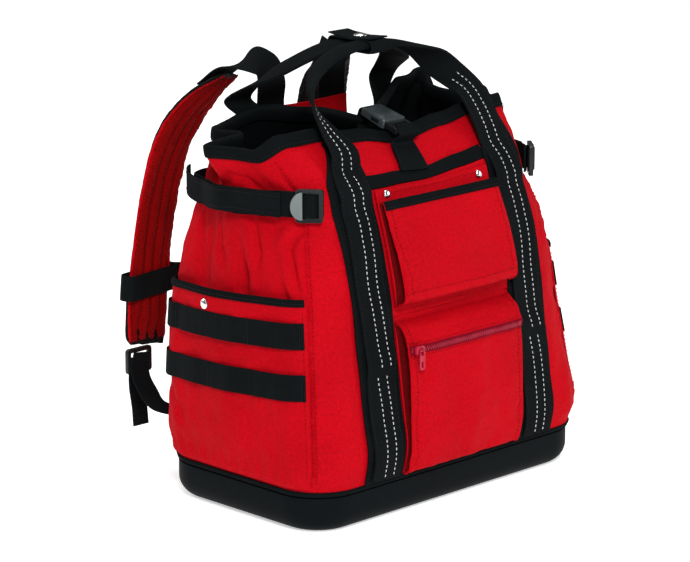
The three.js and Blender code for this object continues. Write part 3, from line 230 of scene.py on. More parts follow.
def across(heights, distances, back=False):
    """reach() for a grid: one row of places for each height. distances is one row, or one per height."""
    rows = np.broadcast_to(distances, (len(heights), np.shape(distances)[-1]))
    return np.array([reach(h, d, back) for h, d in zip(heights, rows)])


def spline(keys, step):
    """Points about a step apart on a smooth curve through keys, whose first index runs along it."""
    keys = np.asarray(keys, float)
    flat = keys.reshape(len(keys), -1, keys.shape[-1])[:, :, :3].mean(axis=1)
    length = lengths(flat, 0)
    at = np.linspace(0, length[-1], max(2, round(length[-1] / step) + 1))
    slope = np.gradient(keys, length, axis=0)
    i = np.clip(np.searchsorted(length, at, side="right") - 1, 0, len(keys) - 2)
    gap = (length[i + 1] - length[i]).reshape((-1,) + (1,) * (keys.ndim - 1))
    t = ((at - length[i]) / (length[i + 1] - length[i])).reshape(gap.shape)
    a, b = t * t * (3 - 2 * t), t * (1 - t)
    return keys[i] * (1 - a) + keys[i + 1] * a + gap * b * ((1 - t) * slope[i] - t * slope[i + 1])


def grid_facing(grid, around=False):
    """Outward directions of a grid of points, rows up and columns to the right."""
    if around:
        along = np.roll(grid, -1, axis=1) - np.roll(grid, 1, axis=1)
    else:
        along = np.gradient(grid, axis=1)
    return unit(np.cross(along, np.gradient(grid, axis=0)))


def lengths(grid, axis):
    """Distances run along one axis of a grid, from 0."""
    legs = np.linalg.norm(np.diff(grid, axis=axis), axis=-1)
    shape_of = list(legs.shape)
    shape_of[axis] = 1
    return np.concatenate([np.zeros(shape_of), np.cumsum(legs, axis=axis)], axis=axis)


def along_line(at, run, line):
    """Points of a line, or directions along it, at distances of its run."""
    return np.stack([np.interp(at, run, line[:, k]) for k in range(3)], -1)


def read(items, key):
    """Three numbers of every item of a mesh, in rows."""
    values = np.empty(len(items) * 3)
    items.foreach_get(key, values)
    return values.reshape(-1, 3)


def mesh_piece(name, points, faces, finish, uvs=None, angle=None):
    """A new piece from points in millimetres. uvs holds two numbers for each face corner, in metres."""
    mesh = bpy.data.meshes.new(name)
    mesh.from_pydata((np.asarray(points) * MM).tolist(), [], [list(map(int, f)) for f in faces])
    if uvs is not None:
        layer = mesh.uv_layers.new(name="cloth")
        layer.data.foreach_set("uv", np.asarray(uvs, np.float32).ravel())
    mesh.shade_smooth()
    if angle:
        mesh.set_sharp_from_angle(angle=math.radians(angle))
    piece = bpy.data.objects.new(name, mesh)
    bpy.context.scene.collection.objects.link(piece)
    if finish:
        mesh.materials.append(FINISHES[finish])
    return piece


def shell(name, outer, inner, material, around=False, angle=50, edge=0.0):
    """A closed wall between two grids of points, rows up and columns to the right as seen from outside."""
    rows, columns = outer.shape[:2]
    last = columns if around else columns - 1
    index = np.arange(rows * columns).reshape(rows, columns)
    back = index + rows * columns
    wrapped = np.concatenate([outer, outer[:, :1]], axis=1) if around else outer
    u, v = lengths(wrapped, 1), lengths(wrapped, 0)
    u = u - u[:, u.shape[1] // 2 : u.shape[1] // 2 + 1]
    place = np.stack([u, v], -1) * MM
    c = np.arange(last)
    k = (c + 1) % columns
    faces, uvs = [], []

    def add(corners, marks):
        """Adds one set of faces with the cloth coordinates of its corners."""
        faces.append(np.stack(corners, -1).reshape(-1, 4))
        uvs.append(np.stack(marks, -2).reshape(-1, 4, 2))

    low, high = np.arange(rows - 1)[:, None], np.arange(1, rows)[:, None]
    marks = [place[low, c], place[low, c + 1], place[high, c + 1], place[high, c]]
    add([index[low, c], index[low, k], index[high, k], index[high, c]], marks)
    add([back[low, c], back[high, c], back[high, k], back[low, k]], [marks[0], marks[3], marks[2], marks[1]])
    shift = np.array([0, 0.001])
    top = rows - 1
    add([index[top, c], index[top, k], back[top, k], back[top, c]],
        [place[top, c], place[top, c + 1], place[top, c + 1] + shift, place[top, c] + shift])
    add([back[0, c], back[0, k], index[0, k], index[0, c]],
        [place[0, c] - shift, place[0, c + 1] - shift, place[0, c + 1], place[0, c]])
    if not around:
        r = np.arange(rows - 1)
        e = columns - 1
        add([back[r, 0], index[r, 0], index[r + 1, 0], back[r + 1, 0]],
            [place[r, 0] - shift[::-1], place[r, 0], place[r + 1, 0], place[r + 1, 0] - shift[::-1]])
        add([index[r, e], back[r, e], back[r + 1, e], index[r + 1, e]],
            [place[r, e], place[r, e] + shift[::-1], place[r + 1, e] + shift[::-1], place[r + 1, e]])
    points = np.concatenate([outer.reshape(-1, 3), inner.reshape(-1, 3)])
    piece = mesh_piece(name, points, np.concatenate(faces), material, np.concatenate(uvs), angle)
    if edge:
        rounded(piece, edge)
    return piece


def rounded(piece, width, segments=2, angle=50):
    """Rounds a piece's sharp edges with an applied bevel."""
    bevel = piece.modifiers.new("edge", "BEVEL")
    bevel.width, bevel.segments = width * MM, segments
    bevel.limit_method, bevel.angle_limit = "ANGLE", math.radians(angle)
    bevel.use_clamp_overlap = True
    bevel.harden_normals = False
    apply_all(piece)
    return piece


def apply_all(piece):
    """Applies a piece's modifiers."""
    bpy.ops.object.select_all(action="DESELECT")
    bpy.context.view_layer.objects.active = piece
    piece.select_set(True)
    for modifier in list(piece.modifiers):
        bpy.ops.object.modifier_apply(modifier=modifier.name)
    piece.select_set(False)


def webbing(name, middle, thickness, material, edge=0.45):
    """A flat strap whose middle surface is a grid; thickness may change from row to row."""
    half = np.broadcast_to(np.asarray(thickness, float), middle.shape[:1])[:, None, None] / 2
    out = grid_facing(middle)
    return shell(name, middle + out * half, middle - out * half, material, edge=edge)


def wear(piece, slot, *nodes, body="bag"):
    """Puts a finished piece on the body it rides on and hides the frame solids it stands for. The slot it is given,
    its finish's name, is not used.
    """
    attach(piece, body)
    if nodes:
        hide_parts(*nodes)
    return piece


def dashes(name, lines, material, long=3.2, gap=1.9, wide=1.0, tall=0.45):
    """Rows of sewn thread. Each line is its points and their outward directions."""
    points, faces = [], []
    for line, out in lines:
        line, out = np.asarray(line, float), np.asarray(out, float)
        run = lengths(line, 0)
        start = gap / 2
        while start + long < run[-1]:
            stations = start + long * np.array([0, 0.18, 0.82, 1])
            at, up = along_line(stations, run, line), unit(along_line(stations, run, out))
            over = unit(np.cross(up, unit(at[3] - at[0])))
            base = len(points)
            points.append(at[0] - 0.15 * up[0])
            for i in (1, 2):
                points += [at[i] + over[i] * wide / 2, at[i] + up[i] * tall, at[i] - over[i] * wide / 2,
                           at[i] - up[i] * 0.3]
            points.append(at[3] - 0.15 * up[3])
            a, b, end = base + 1, base + 5, base + 9
            for i in range(4):
                j = (i + 1) % 4
                faces += [(base, a + j, a + i), (a + i, a + j, b + j, b + i), (end, b + i, b + j)]
            start += long + gap
    return mesh_piece(name, points, faces, material)


def grid_line(grid, column, out, lift):
    """A sewn line along a grid at a share of its width, lifted off its face."""
    at = column * (grid.shape[1] - 1)
    i = min(int(at), grid.shape[1] - 2)
    t = at - i
    line = grid[:, i] * (1 - t) + grid[:, i + 1] * t
    up = unit(out[:, i] * (1 - t) + out[:, i + 1] * t)
    return line + up * lift, up


class Value:
    """A number or colour in a material. Arithmetic on it adds Math nodes."""

    def __init__(self, finish, socket):
        self.finish, self.socket = finish, socket

    def maths(self, operation, other=0.0, swapped=False):
        """Adds one Math node between this value and another."""
        pair = (other, self) if swapped else (self, other)
        return self.finish.add("ShaderNodeMath", {"operation": operation}, {0: pair[0], 1: pair[1]})

    def __add__(self, other):
        return self.maths("ADD", other)

    def __sub__(self, other):
        return self.maths("SUBTRACT", other)

    def __rsub__(self, other):
        return self.maths("SUBTRACT", other, swapped=True)

    def __mul__(self, other):
        return self.maths("MULTIPLY", other)

    __radd__, __rmul__ = __add__, __mul__

    def sine(self):
        """The sine of this value."""
        return self.maths("SINE")

    def limited(self):
        """This value kept between 0 and 1."""
        return self.finish.add("ShaderNodeClamp", {}, {0: self})


class Finish:
    """A material under construction."""

    def __init__(self, name):
        self.material = bpy.data.materials.new(name)
        self.material.use_nodes = True
        self.tree = self.material.node_tree
        self.tree.nodes.clear()

    def add(self, kind, settings=None, inputs=None, output=0):
        """Adds a node: its settings first, then its sockets' values or links."""
        node = self.tree.nodes.new(kind)
        for key, value in (settings or {}).items():
            setattr(node, key, value)
        for key, value in (inputs or {}).items():
            if isinstance(value, Value):
                self.tree.links.new(value.socket, node.inputs[key])
            else:
                node.inputs[key].default_value = value
        return Value(self, node.outputs[output])

    def place(self, uv=True):
        """The piece's own cloth coordinates, or its place in the part."""
        if uv:
            return self.add("ShaderNodeUVMap", {"uv_map": "cloth"})
        return self.add("ShaderNodeTexCoord", output="Object")

    def parts(self, vector):
        """The three parts of a vector."""
        node = self.add("ShaderNodeSeparateXYZ", inputs={0: vector}).socket.node
        return [Value(self, out) for out in node.outputs]

    def noise(self, vector, scale, detail=2.0, roughness=0.5):
        """Soft noise at a place."""
        return self.add("ShaderNodeTexNoise", {},
                        {"Vector": vector, "Scale": scale, "Detail": detail, "Roughness": roughness})

    def blend(self, factor, first, second):
        """A colour between two."""
        return self.add("ShaderNodeMix", {"data_type": "RGBA"}, {0: factor, 6: first, 7: second}, output=2)

    def surface(self, base, roughness, height=None, depth=0.0002, strength=1.0, **constants):
        """Ends the material: its shader, and the bump of its height."""
        inputs = {"Base Color": base, "Roughness": roughness}
        if height is not None:
            inputs["Normal"] = self.add("ShaderNodeBump", {},
                                        {"Strength": strength, "Distance": depth, "Height": height})
        inputs.update({key.replace("_", " "): value for key, value in constants.items()})
        shader = self.add("ShaderNodeBsdfPrincipled", {}, inputs)
        out = self.tree.nodes.new("ShaderNodeOutputMaterial")
        self.tree.links.new(shader.socket, out.inputs[0])
        return self.material


def tone(colour, share):
    """A colour made lighter or darker."""
    return tuple(min(c * share, 1.0) for c in colour[:3]) + (1.0,)


def woven_cloth(name, colour, pitch=0.0009, depth=0.0001, soft=0.8, spread=0.26):
    """Plain-woven cloth: threads over and under, a mottled grain and a slow change of shade."""
    finish = Finish(name)
    place = finish.place()
    u, v = finish.parts(place)[:2]
    pace = math.tau / pitch
    threads = (u * pace).sine() * (v * pace).sine()
    grain = finish.noise(place, 1100, 2)
    slow = finish.noise(finish.place(False), 11, 3)
    coarse = finish.noise(place, 330, 3, 0.7)
    mix = (threads * 0.2 + grain * 0.3 + coarse * 1.5 + slow * 0.7 - 0.75).limited()
    base = finish.blend(mix, tone(colour, 1 - spread * 1.4), tone(colour, 1 + spread))
    height = threads * 0.6 + grain * 0.8 + coarse * 2.0
    return finish.surface(base, grain * 0.12 + (soft - 0.06), height, depth, 0.75,
                          Sheen_Weight=0.12, Sheen_Roughness=0.45, Sheen_Tint=tone(colour, 1.6),
                          Specular_IOR_Level=0.05)


def ribbed_webbing(name, colour, along, pitch=0.0021, depth=0.00035, lift=2.6, soft=0.68):
    """Webbing with cross ribs. along is 0 or 1, the cloth coordinate that runs its length."""
    finish = Finish(name)
    place = finish.place()
    pair = finish.parts(place)[:2]
    run, cross = pair[along], pair[1 - along]
    fine = (cross * (math.tau / 0.0016)).sine()
    ribs = (run * (math.tau / pitch) + fine * 0.5).sine()
    threads = (run * (math.tau / 0.0008)).sine() * fine
    grain = finish.noise(place, 900, 2)
    worn = finish.noise(finish.place(False), 30, 3)
    mix = ((ribs * 0.34 + 0.32) * worn * 1.3 + threads * 0.06 + grain * 0.25 - 0.1).limited()
    base = finish.blend(mix, tone(colour, 0.55), tone(colour, lift))
    return finish.surface(base, grain * 0.15 + soft, ribs * 0.7 + threads * 0.15 + grain * 0.3, depth, 0.6,
                          Specular_IOR_Level=0.03)


def moulded(name, colour, soft, grain_scale=700, depth=0.00006, strength=0.35, **constants):
    """Moulded rubber or plastic: a fine grain, small scuffs and a slow change of gloss."""
    finish = Finish(name)
    place = finish.place(False)
    grain = finish.noise(place, grain_scale, 3)
    slow = finish.noise(place, 18, 4, 0.6)
    scuffs = finish.noise(place, 160, 5, 0.7)
    base = finish.blend((slow * 0.8 + scuffs * 0.3 - 0.1).limited(), tone(colour, 0.75), tone(colour, 1.45))
    roughness = slow * 0.16 + scuffs * 0.08 + (soft - 0.12)
    return finish.surface(base, roughness, grain + scuffs * 0.3, depth, strength, **constants)


def plated(name, colour):
    """Polished metal with faint rub marks."""
    finish = Finish(name)
    place = finish.place(False)
    marks = finish.noise(place, 420, 4, 0.6)
    base = finish.blend(marks, tone(colour, 0.9), tone(colour, 1.08))
    return finish.surface(base, marks * 0.14 + 0.08, marks, 0.00003, 0.3, Metallic=1.0)


def sewn_thread(name, colour, soft=0.55):
    """Sewing thread with a fine twist."""
    finish = Finish(name)
    place = finish.place(False)
    x, y, z = finish.parts(place)
    twist = ((x - y + z * 1.4) * (math.tau / 0.0009)).sine()
    grain = finish.noise(place, 900, 2)
    base = finish.blend((twist * 0.3 + grain * 0.7 + 0.1).limited(), tone(colour, 0.72), tone(colour, 1.15))
    return finish.surface(base, grain * 0.2 + (soft - 0.1), twist, 0.0001, 0.5, Specular_IOR_Level=0.08)


def quilted_mesh(name, colour):
    """Open knitted mesh over foam, in small staggered cells."""
    finish = Finish(name)
    place = finish.place()
    u, v = finish.parts(place)[:2]
    pace = math.tau / 0.0026
    first = ((u + v * 0.6) * pace).sine()
    second = ((u - v * 0.6) * pace).sine()
    cells = first * second
    grain = finish.noise(place, 800, 2)
    slow = finish.noise(finish.place(False), 22, 3)
    mix = (cells * 0.4 + slow * 0.7 + grain * 0.15).limited()
    base = finish.blend(mix, tone(colour, 0.6), tone(colour, 1.45))
    return finish.surface(base, grain * 0.1 + 0.8, cells + grain * 0.3, 0.0004, 0.6, Specular_IOR_Level=0.06)


FINISHES = {}


def finish_all(looks):
    """Makes every material once, from the panel's colours."""
    red, black = tuple(looks.cloth_red), tuple(looks.webbing_black)
    FINISHES.update(
        cloth=woven_cloth("red_cloth", red),
        lining=woven_cloth("black_lining", tuple(looks.lining_black), 0.0007, 0.00008, 0.62, 0.3),
        webbing=ribbed_webbing("black_webbing", black, 1),
        webbing_level=ribbed_webbing("black_webbing_level", black, 0),
        binding=ribbed_webbing("black_binding", black, 0, 0.0013, 0.00018, 2.0, 0.72),
        rubber=moulded("tray_rubber", tuple(looks.rubber_black), 0.56, 520, 0.00009, 0.4,
                       Specular_IOR_Level=0.03),
        plastic=moulded("buckle_plastic", tuple(looks.plastic_black), 0.3, 900, 0.00004, 0.3,
                        Specular_IOR_Level=0.22),
        # glossy buckle plastic: its lower roughness and stronger specular are real gloss; its colour, 5.5 times
        # lighter than the other buckle plastic, is a painted highlight
        gloss_plastic=moulded("glossy_plastic_painted_highlight", tone(tuple(looks.plastic_black), 5.5), 0.28, 900,
                              0.00003, 0.25),
        lever=moulded("lock_lever", (0.11, 0.13, 0.13), 0.4, 900, 0.00004, 0.3),
        metal=plated("polished_metal", (0.83, 0.82, 0.81)),
        zip=ribbed_webbing("crimson_tape", (0.2, 0.0025, 0.013), 0, 0.0012, 0.00015, 1.5, 0.62),
        teeth=moulded("crimson_teeth", (0.3, 0.006, 0.026), 0.4, 900, 0.00004, 0.3, Specular_IOR_Level=0.3),
        puller=moulded("crimson_puller", (0.33, 0.003, 0.022), 0.38, 900, 0.00004, 0.3,
                       Specular_IOR_Level=0.3),
        mesh=quilted_mesh("dark_red_mesh", (0.19, 0.0005, 0.0008)),
        light_thread=sewn_thread("reflective_thread", (0.62, 0.63, 0.62)),
        red_thread=sewn_thread("red_thread", tone(red, 0.62)),
        border=woven_cloth("pad_border_cloth", (0.42, 0.0012, 0.004), soft=0.75),
        # painted shade: a near-black red cloth for the pockets' tucked gussets, standing in for the shadow in their
        # folds
        gusset=woven_cloth("shaded_cloth", (0.1, 0.0008, 0.0016)),
        pad_thread=sewn_thread("pad_thread", (0.07, 0.0008, 0.0012)),
        black_thread=sewn_thread("black_thread", (0.011, 0.012, 0.013)),
    )


# place, height: the lines that soft folds follow on the bag's cloth
FOLDS = {
    "corner": [(-0.315, 300), (-0.352, 268), (-0.345, 240), (-0.335, 224)],
    "corner right": [(0.318, 298), (0.35, 266), (0.342, 238), (0.336, 224)],
    "side upper": [(-0.44, 292), (-0.425, 262), (-0.43, 236)],
    "side middle": [(-0.54, 288), (-0.525, 255), (-0.5, 232)],
    "side rear": [(-0.62, 282), (-0.6, 250), (-0.585, 222)],
    "side upper right": [(0.45, 292), (0.43, 258), (0.44, 236)],
    "side rear right": [(0.6, 284), (0.585, 250), (0.57, 226)],
    "low front": [(-0.372, 118), (-0.385, 96), (-0.362, 72), (-0.345, 52)],
    "low front right": [(0.37, 112), (0.388, 90), (0.36, 60)],
    "low rear": [(-0.63, 126), (-0.585, 104), (-0.56, 84)],
    "low rear right": [(0.64, 124), (0.59, 100), (0.565, 80)],
    "low middle": [(-0.5, 60), (-0.46, 84), (-0.44, 108)],
    "corner low": [(-0.318, 92), (-0.29, 90), (-0.262, 94)],
    "over strap": [(-0.53, 318), (-0.48, 334), (-0.43, 330), (-0.4, 318)],
    "over strap right": [(0.54, 320), (0.49, 336), (0.44, 330), (0.4, 316)],
    "back left": [(-0.9, 262), (-0.88, 214), (-0.89, 150)],
    "back right": [(0.87, 270), (0.89, 212), (0.87, 146)],
    "front middle": [(0.1, 338), (0.085, 322)],
}
FOLD_DEEP = {
    "corner": 4.6, "side upper": 3.4, "side middle": 2.8, "side rear": 2.6, "corner right": 3.4,
    "low front": 2.6, "over strap": 2.6, "corner low": 1.2, "front middle": 0.8,
}
SEAM_PLACE, REAR_SEAM_PLACE = 0.322, 0.755


def folds(place, height, table=None, wide=8.0):
    """How far the cloth dips and rises round its folds."""
    x, total = place * UNIT_ROUND, np.zeros(np.broadcast(place, height).shape)
    for name, line in (table or FOLDS).items():
        ends = np.array(line, float)
        deep = FOLD_DEEP.get(name, 2.0)
        nearest, along = np.full(total.shape, 1e9), np.zeros(total.shape)
        signed = np.zeros(total.shape)
        for i in range(len(ends) - 1):
            a, b = ends[i] * (UNIT_ROUND, 1), ends[i + 1] * (UNIT_ROUND, 1)
            leg = b - a
            t = np.clip(((x - a[0]) * leg[0] + (height - a[1]) * leg[1]) / (leg @ leg), 0, 1)
            dx, dy = x - a[0] - t * leg[0], height - a[1] - t * leg[1]
            gap = np.hypot(dx, dy)
            closer = gap < nearest
            nearest = np.where(closer, gap, nearest)
            signed = np.where(closer, np.sign(dx * leg[1] - dy * leg[0]) * gap, signed)
            along = np.where(closer, (i + t) / (len(ends) - 1), along)
        fade = np.sin(math.pi * np.clip(along * 0.84 + 0.08, 0, 1))
        dip = -bell(nearest / (wide * 0.55)) + 0.55 * bell((signed - wide * 1.25) / (wide * 0.9))
        total = total + deep * fade * dip
    return total


def relief(place, height):
    """The bag cloth's folds, puckers and slack, in millimetres out from its plain form."""
    place, height = np.broadcast_arrays(np.asarray(place, float), np.asarray(height, float))
    p, x = np.abs(place), place * UNIT_ROUND
    seam = np.abs(p - SEAM_PLACE) * UNIT_ROUND
    rear = np.abs(p - REAR_SEAM_PLACE) * UNIT_ROUND
    total = folds(place, height)
    total = total + 1.1 * waves(x, height, 92, 3) + 0.5 * waves(x, height, 38, 4)
    total = total + 0.16 * waves(x, height, 13, 5)
    for gap in (seam, rear):
        total = total - 1.5 * bell(gap / 2.2) + 0.7 * bell((gap - 6) / 4)
        total = total + 0.45 * np.sin(height * math.tau / 11 + 2 * waves(x, height, 60, 6)) * bell(gap / 9)
    foot = np.clip((height - 46) / 14, 0, 1)
    gathers = np.sin(x * math.tau / 17 + 2.2 * waves(x, height, 75, 7))
    total = total + 0.9 * gathers * bell((height - 54) / 10) * (p > CORNER_END)
    total = total * smooth(foot) * smooth((BODY_HEIGHT - 6 - height) / 26)
    calm = np.where(p > 0.245, 1.0, np.where(p > 0.13, 0.25, 0.45))
    return total * calm * settings().fold_depth


def cloth_point(place, height, out=0.0):
    """A point of the bag's cloth with its folds."""
    return skin(place, height, relief(place, height) + out)


def build_bag():
    """The red bag, its black lining, and the tapes at its rim and foot."""
    around = np.linspace(-1, 1, 341)[:-1][None, :]
    heights = np.concatenate([[24, 30, 35, 37], np.arange(39, 60, 2), np.linspace(62, 361.4, 96)])[:, None]
    outer = cloth_point(around, heights)
    body = shell("bag_cloth", outer, cloth_point(around, heights, -1.5), "cloth", around=True)
    wear(body, "red_cloth", "bag_body")
    high = np.concatenate([[28, 34, 37, 40, 44], np.linspace(50, 361.2, 80)])[:, None]
    inside = cloth_point(around, high, -2.5)
    lining = shell("bag_lining_cloth", inside, cloth_point(around, high, -3.5), "lining", around=True)
    wear(lining, "black_lining", "bag_lining")
    rim_tape()
    foot = np.array([36.4, 37.0, 39.7, 42.4, 43])[:, None]
    swell = np.array([0.5, 1.3, 1.5, 1.3, 0.5])[:, None] + 0 * around
    band = shell("foot_tape", skin(around, foot, swell + 0.4), skin(around, foot, 0.4), "binding",
                 around=True, angle=70)
    wear(band, "black_webbing", "base_band")
    seams()


def rim_tape():
    """The folded tape over the rim, with its row of stitches."""
    places = np.linspace(-1, 1, 421)[:-1]
    low = BODY_HEIGHT - 10.2
    out_of, up_by = facing(places, BODY_HEIGHT), shape(places, BODY_HEIGHT) - shape(places, low)
    up_by = unit(up_by)
    top = shape(places, BODY_HEIGHT) + up_by * 0.5
    foot = skin(places, low)
    x = places * UNIT_ROUND
    wave = 0.35 * waves(x, x * 0, 26, 8)
    profile = [  # out, share of the way up, lift
        (0.3, 0.0, 0), (1.5, -0.02, 0), (1.9, 0.3, 0), (1.8, 0.8, 0), (1.3, 1.0, 0.5), (0.0, 1.0, 1.3),
        (-2.0, 1.0, 1.6), (-4.0, 1.0, 1.2), (-5.2, 1.0, 0.3), (-5.9, 0.8, 0), (-5.9, 0.3, 0), (-5.4, -0.02, 0),
        (-4.2, 0.0, 0), (-4.1, 0.9, 0), (-2, 1.0, 0.2), (0.2, 0.9, 0),
    ]
    rings = []
    for out, share, lift in profile:
        base = foot + (top - foot) * share
        swell = out + wave * (1 if out > 0.3 else 0)
        rings.append(base + out_of * np.broadcast_to(swell, places.shape)[:, None] + up_by * lift)
    rings = np.array(rings)
    count, columns = len(rings), len(places)
    index = np.arange(count * columns).reshape(count, columns)
    c = np.arange(columns)
    k = (c + 1) % columns
    faces, uvs = [], []
    run = np.linspace(0, 1.1, columns + 1)
    for i in range(count):
        j = (i + 1) % count
        faces.append(np.stack([index[i, c], index[i, k], index[j, k], index[j, c]], -1))
        mark = [np.stack([run[c], 0 * c + i * 0.0015], -1), np.stack([run[c + 1], 0 * c + i * 0.0015], -1),
                np.stack([run[c + 1], 0 * c + (i + 1) * 0.0015], -1),
                np.stack([run[c], 0 * c + (i + 1) * 0.0015], -1)]
        uvs.append(np.stack(mark, 1))
    tape = mesh_piece("rim_tape", rings.reshape(-1, 3), np.concatenate(faces), "binding",
                      np.concatenate(uvs), 60)
    wear(tape, "black_webbing", "rim_binding")
    line = foot + (top - foot) * 0.2 + out_of * 1.9
    closed = np.concatenate([line, line[:1]])
    thread = dashes("rim_tape_thread", [(closed, np.concatenate([out_of, out_of[:1]]))],
                    "black_thread", 2.4, 1.4, 0.8, 0.4)
    wear(thread, "black_webbing")


def seams():
    """Rows of red thread beside the bag's upright seams."""
    lines = []
    heights = np.linspace(50, 350, 130)
    for side in (-1, 1):
        for place in (SEAM_PLACE - 0.007, REAR_SEAM_PLACE + 0.008):
            places = np.full(heights.shape, side * place)
            lines.append((cloth_point(places, heights, 0.1), facing(places, heights)))
    wear(dashes("seam_thread", lines, "red_thread", 2.6, 1.5, 0.7, 0.3), "red_cloth")


POCKET_HALF = 79.0
ZIP_LEVEL = 163.3
# in from the edge, share of the stand-off: a pocket's gusset, with its tuck
GUSSET = np.array([
    (0, 0), (1.2, 0.08), (6.5, 0.13), (9, 0.22), (9.6, 0.36), (8, 0.52), (4.5, 0.7), (1.4, 0.85), (0.4, 0.93),
    (0.9, 0.98), (2.6, 1), (5, 1),
])


def pocket_grid(half, rows, closed_top, rest, columns=56, seed=11, slack=1.0, foot_round=5.0):
    """A pocket's face: rows are (height, stand-off at the middle, stand-off at the sides). Its sides are
    tucked gussets and its foot turns under. Returns the grid's points and its heights."""
    rows = np.array(rows, float)
    bottom, top = rows[0, 0], rows[-1, 0]
    flat = np.linspace(GUSSET[-1, 0], 2 * half - GUSSET[-1, 0], columns)[1:-1]
    over = np.concatenate([GUSSET[:, 0], flat, 2 * half - GUSSET[::-1, 0]]) - half
    share = np.concatenate([GUSSET[:, 1], np.ones(columns - 2), GUSSET[::-1, 1]])
    curl = foot_round * (1 - np.cos(np.linspace(0, math.pi / 2, 7)))
    rise = np.linspace(bottom + foot_round, top - (foot_round if closed_top else 0), 46)
    heights = np.concatenate([bottom + curl[:-1], rise, (top - curl[::-1][1:]) if closed_top else []])

    def turned(gap):
        """The share of the depth that a rounded edge leaves at a distance from it."""
        return np.sqrt(np.clip(1 - (1 - np.clip(gap / foot_round, 0, 1)) ** 2, 0, 1))

    by_foot = turned(heights - bottom)
    if closed_top:
        by_foot = by_foot * turned(top - heights)
    tuck = smooth((heights - bottom) / 26) * (smooth((top - heights) / 22) if closed_top else 1.0)
    inward = np.where(share < 1, np.abs(half - np.abs(over)), 0.0)
    plain = np.minimum(inward, 2.5 * share)
    shift = np.sign(over)[None, :] * ((inward - plain)[None, :] * (1 - tuck)[:, None])
    wide = over[None, :] + np.where(share < 1, shift, 0)
    places = across(heights, wide)
    middle, edge = eased(rows[:, 0], rows[:, 1], heights), eased(rows[:, 0], rows[:, 2], heights)
    away = edge[:, None] + (middle - edge)[:, None] * (1 - (over / half) ** 2)[None, :]
    x, y = over[None, :] + 0 * heights[:, None], heights[:, None] + 0 * over[None, :]
    near_edge = bell((half - np.abs(x) - 9) / 9) + bell((y - bottom - 9) / 9)
    give = 0.9 * waves(x, y, 70, seed) + 0.35 * waves(x, y, 26, seed + 1)
    give = give + near_edge * 0.5 * np.sin((x + y) * math.tau / 17 + 2 * waves(x, y, 50, seed + 2))
    away = away + give * slack * settings().fold_depth * (share == 1)[None, :]
    away = rest + (away - rest) * share[None, :] * by_foot[:, None]
    return skin(places, heights[:, None], away), heights


ZIP_ROWS = [
    (45, 10, 8), (70, 13, 9), (111, 21, 14), (154, 24, 18), (168, 23.5, 18), (176, 20, 16), (190, 12, 9),
]
FRONT_ROWS = [(206, 24, 19), (220, 27, 21), (256, 25, 19), (288, 19, 15), (300, 18, 14)]


def sewn_edge(grid, columns, rows_from, lift=0.3):
    """Stitch lines down a pocket's two sides, at grid columns from each end."""
    out = grid_facing(grid)
    lines = []
    for c in (columns, grid.shape[1] - 1 - columns):
        lines.append((grid[rows_from:, c] + out[rows_from:, c] * lift, out[rows_from:, c]))
    return lines


def build_front_pockets():
    """The flat pocket behind, the front pocket on it, and the zipped pocket below."""
    red = []

    def flat(name, node, half, bottom, top, inside, thick, material, slot="red_cloth", amp=0.0,
             tilt=(0, 0)):
        """One flat layer of cloth or tape on the front of the bag."""
        heights = np.linspace(bottom, top, max(4, round((top - bottom) / 3.5)))
        over = np.linspace(-half, half, 47)
        places = across(heights, over)
        give = amp * (0.5 + 0.5 * waves(over[None, :], heights[:, None], 45, 21))
        drop = np.linspace(*tilt, len(heights))[:, None] * (half - over) / (2 * half)
        outer = skin(places, heights[:, None] - drop, inside + thick + give)
        inner = skin(places, heights[:, None] - drop, inside + give)
        piece = shell(name, outer, inner, material, edge=0.4)
        wear(piece, slot, node)
        return outer

    flat("flat_pocket_cloth", "flat_pocket", 84, 196, 318, 1.0, 1.0, "cloth", tilt=(0, 6))
    flat("flat_pocket_tape", "flat_pocket_binding", 84, 318.4, 329, 0.2, 2.4, "binding", "black_webbing",
         tilt=(6, 6))
    back = flat("pocket_flap_cloth", "front_pocket_back", 78, 202, 313, 3.4, 1.5, "cloth", amp=0.5,
                tilt=(0, 2))
    out = grid_facing(back)
    hem = int(back.shape[0] * 0.955)
    red.append((back[hem, 2:-2] + out[hem, 2:-2] * 0.2, out[hem, 2:-2]))

    front, heights = pocket_grid(POCKET_HALF, FRONT_ROWS, False, 6.6, seed=11)
    inner = front - grid_facing(front) * 1.4
    piece = shade_gussets(shell("front_pocket_cloth", front, inner, "cloth"), front)
    wear(piece, "red_cloth", "front_pocket")
    red += sewn_edge(front, 12, 8)
    out = grid_facing(front)
    red.append((front[9, 6:-6] + out[9, 6:-6] * 0.3, out[9, 6:-6]))
    mouth_tape("front_pocket_tape", "front_pocket_binding", front[:, 9:-9], heights, 8.5)

    zipped, heights = pocket_grid(POCKET_HALF, ZIP_ROWS, True, 2.2, seed=31, slack=1.25, foot_round=7.0)
    inner = zipped - grid_facing(zipped) * 1.4
    piece = shade_gussets(shell("zip_pocket_cloth", zipped, inner, "cloth"), zipped)
    wear(piece, "red_cloth", "zip_pocket")
    red += sewn_edge(zipped, 12, 8)
    build_zip(zipped, heights, red)
    wear(dashes("pocket_thread", red, "red_thread", 2.6, 1.5, 0.8, 0.4), "red_cloth")


def shade_gussets(piece, grid):
    """Gives a pocket's tucked sides a near-black cloth, painted shade for the shadow in their folds."""
    rows, columns = grid.shape[0] - 1, grid.shape[1] - 1
    dark = np.zeros(len(piece.data.polygons), np.int32)
    outer = dark[: rows * columns].reshape(rows, columns)
    # painted shade: the tucked columns on both sides of the face take the shaded cloth
    outer[:, 1:8] = outer[:, -8:-1] = 1
    piece.data.materials.append(FINISHES["gusset"])
    piece.data.polygons.foreach_set("material_index", dark)
    return piece


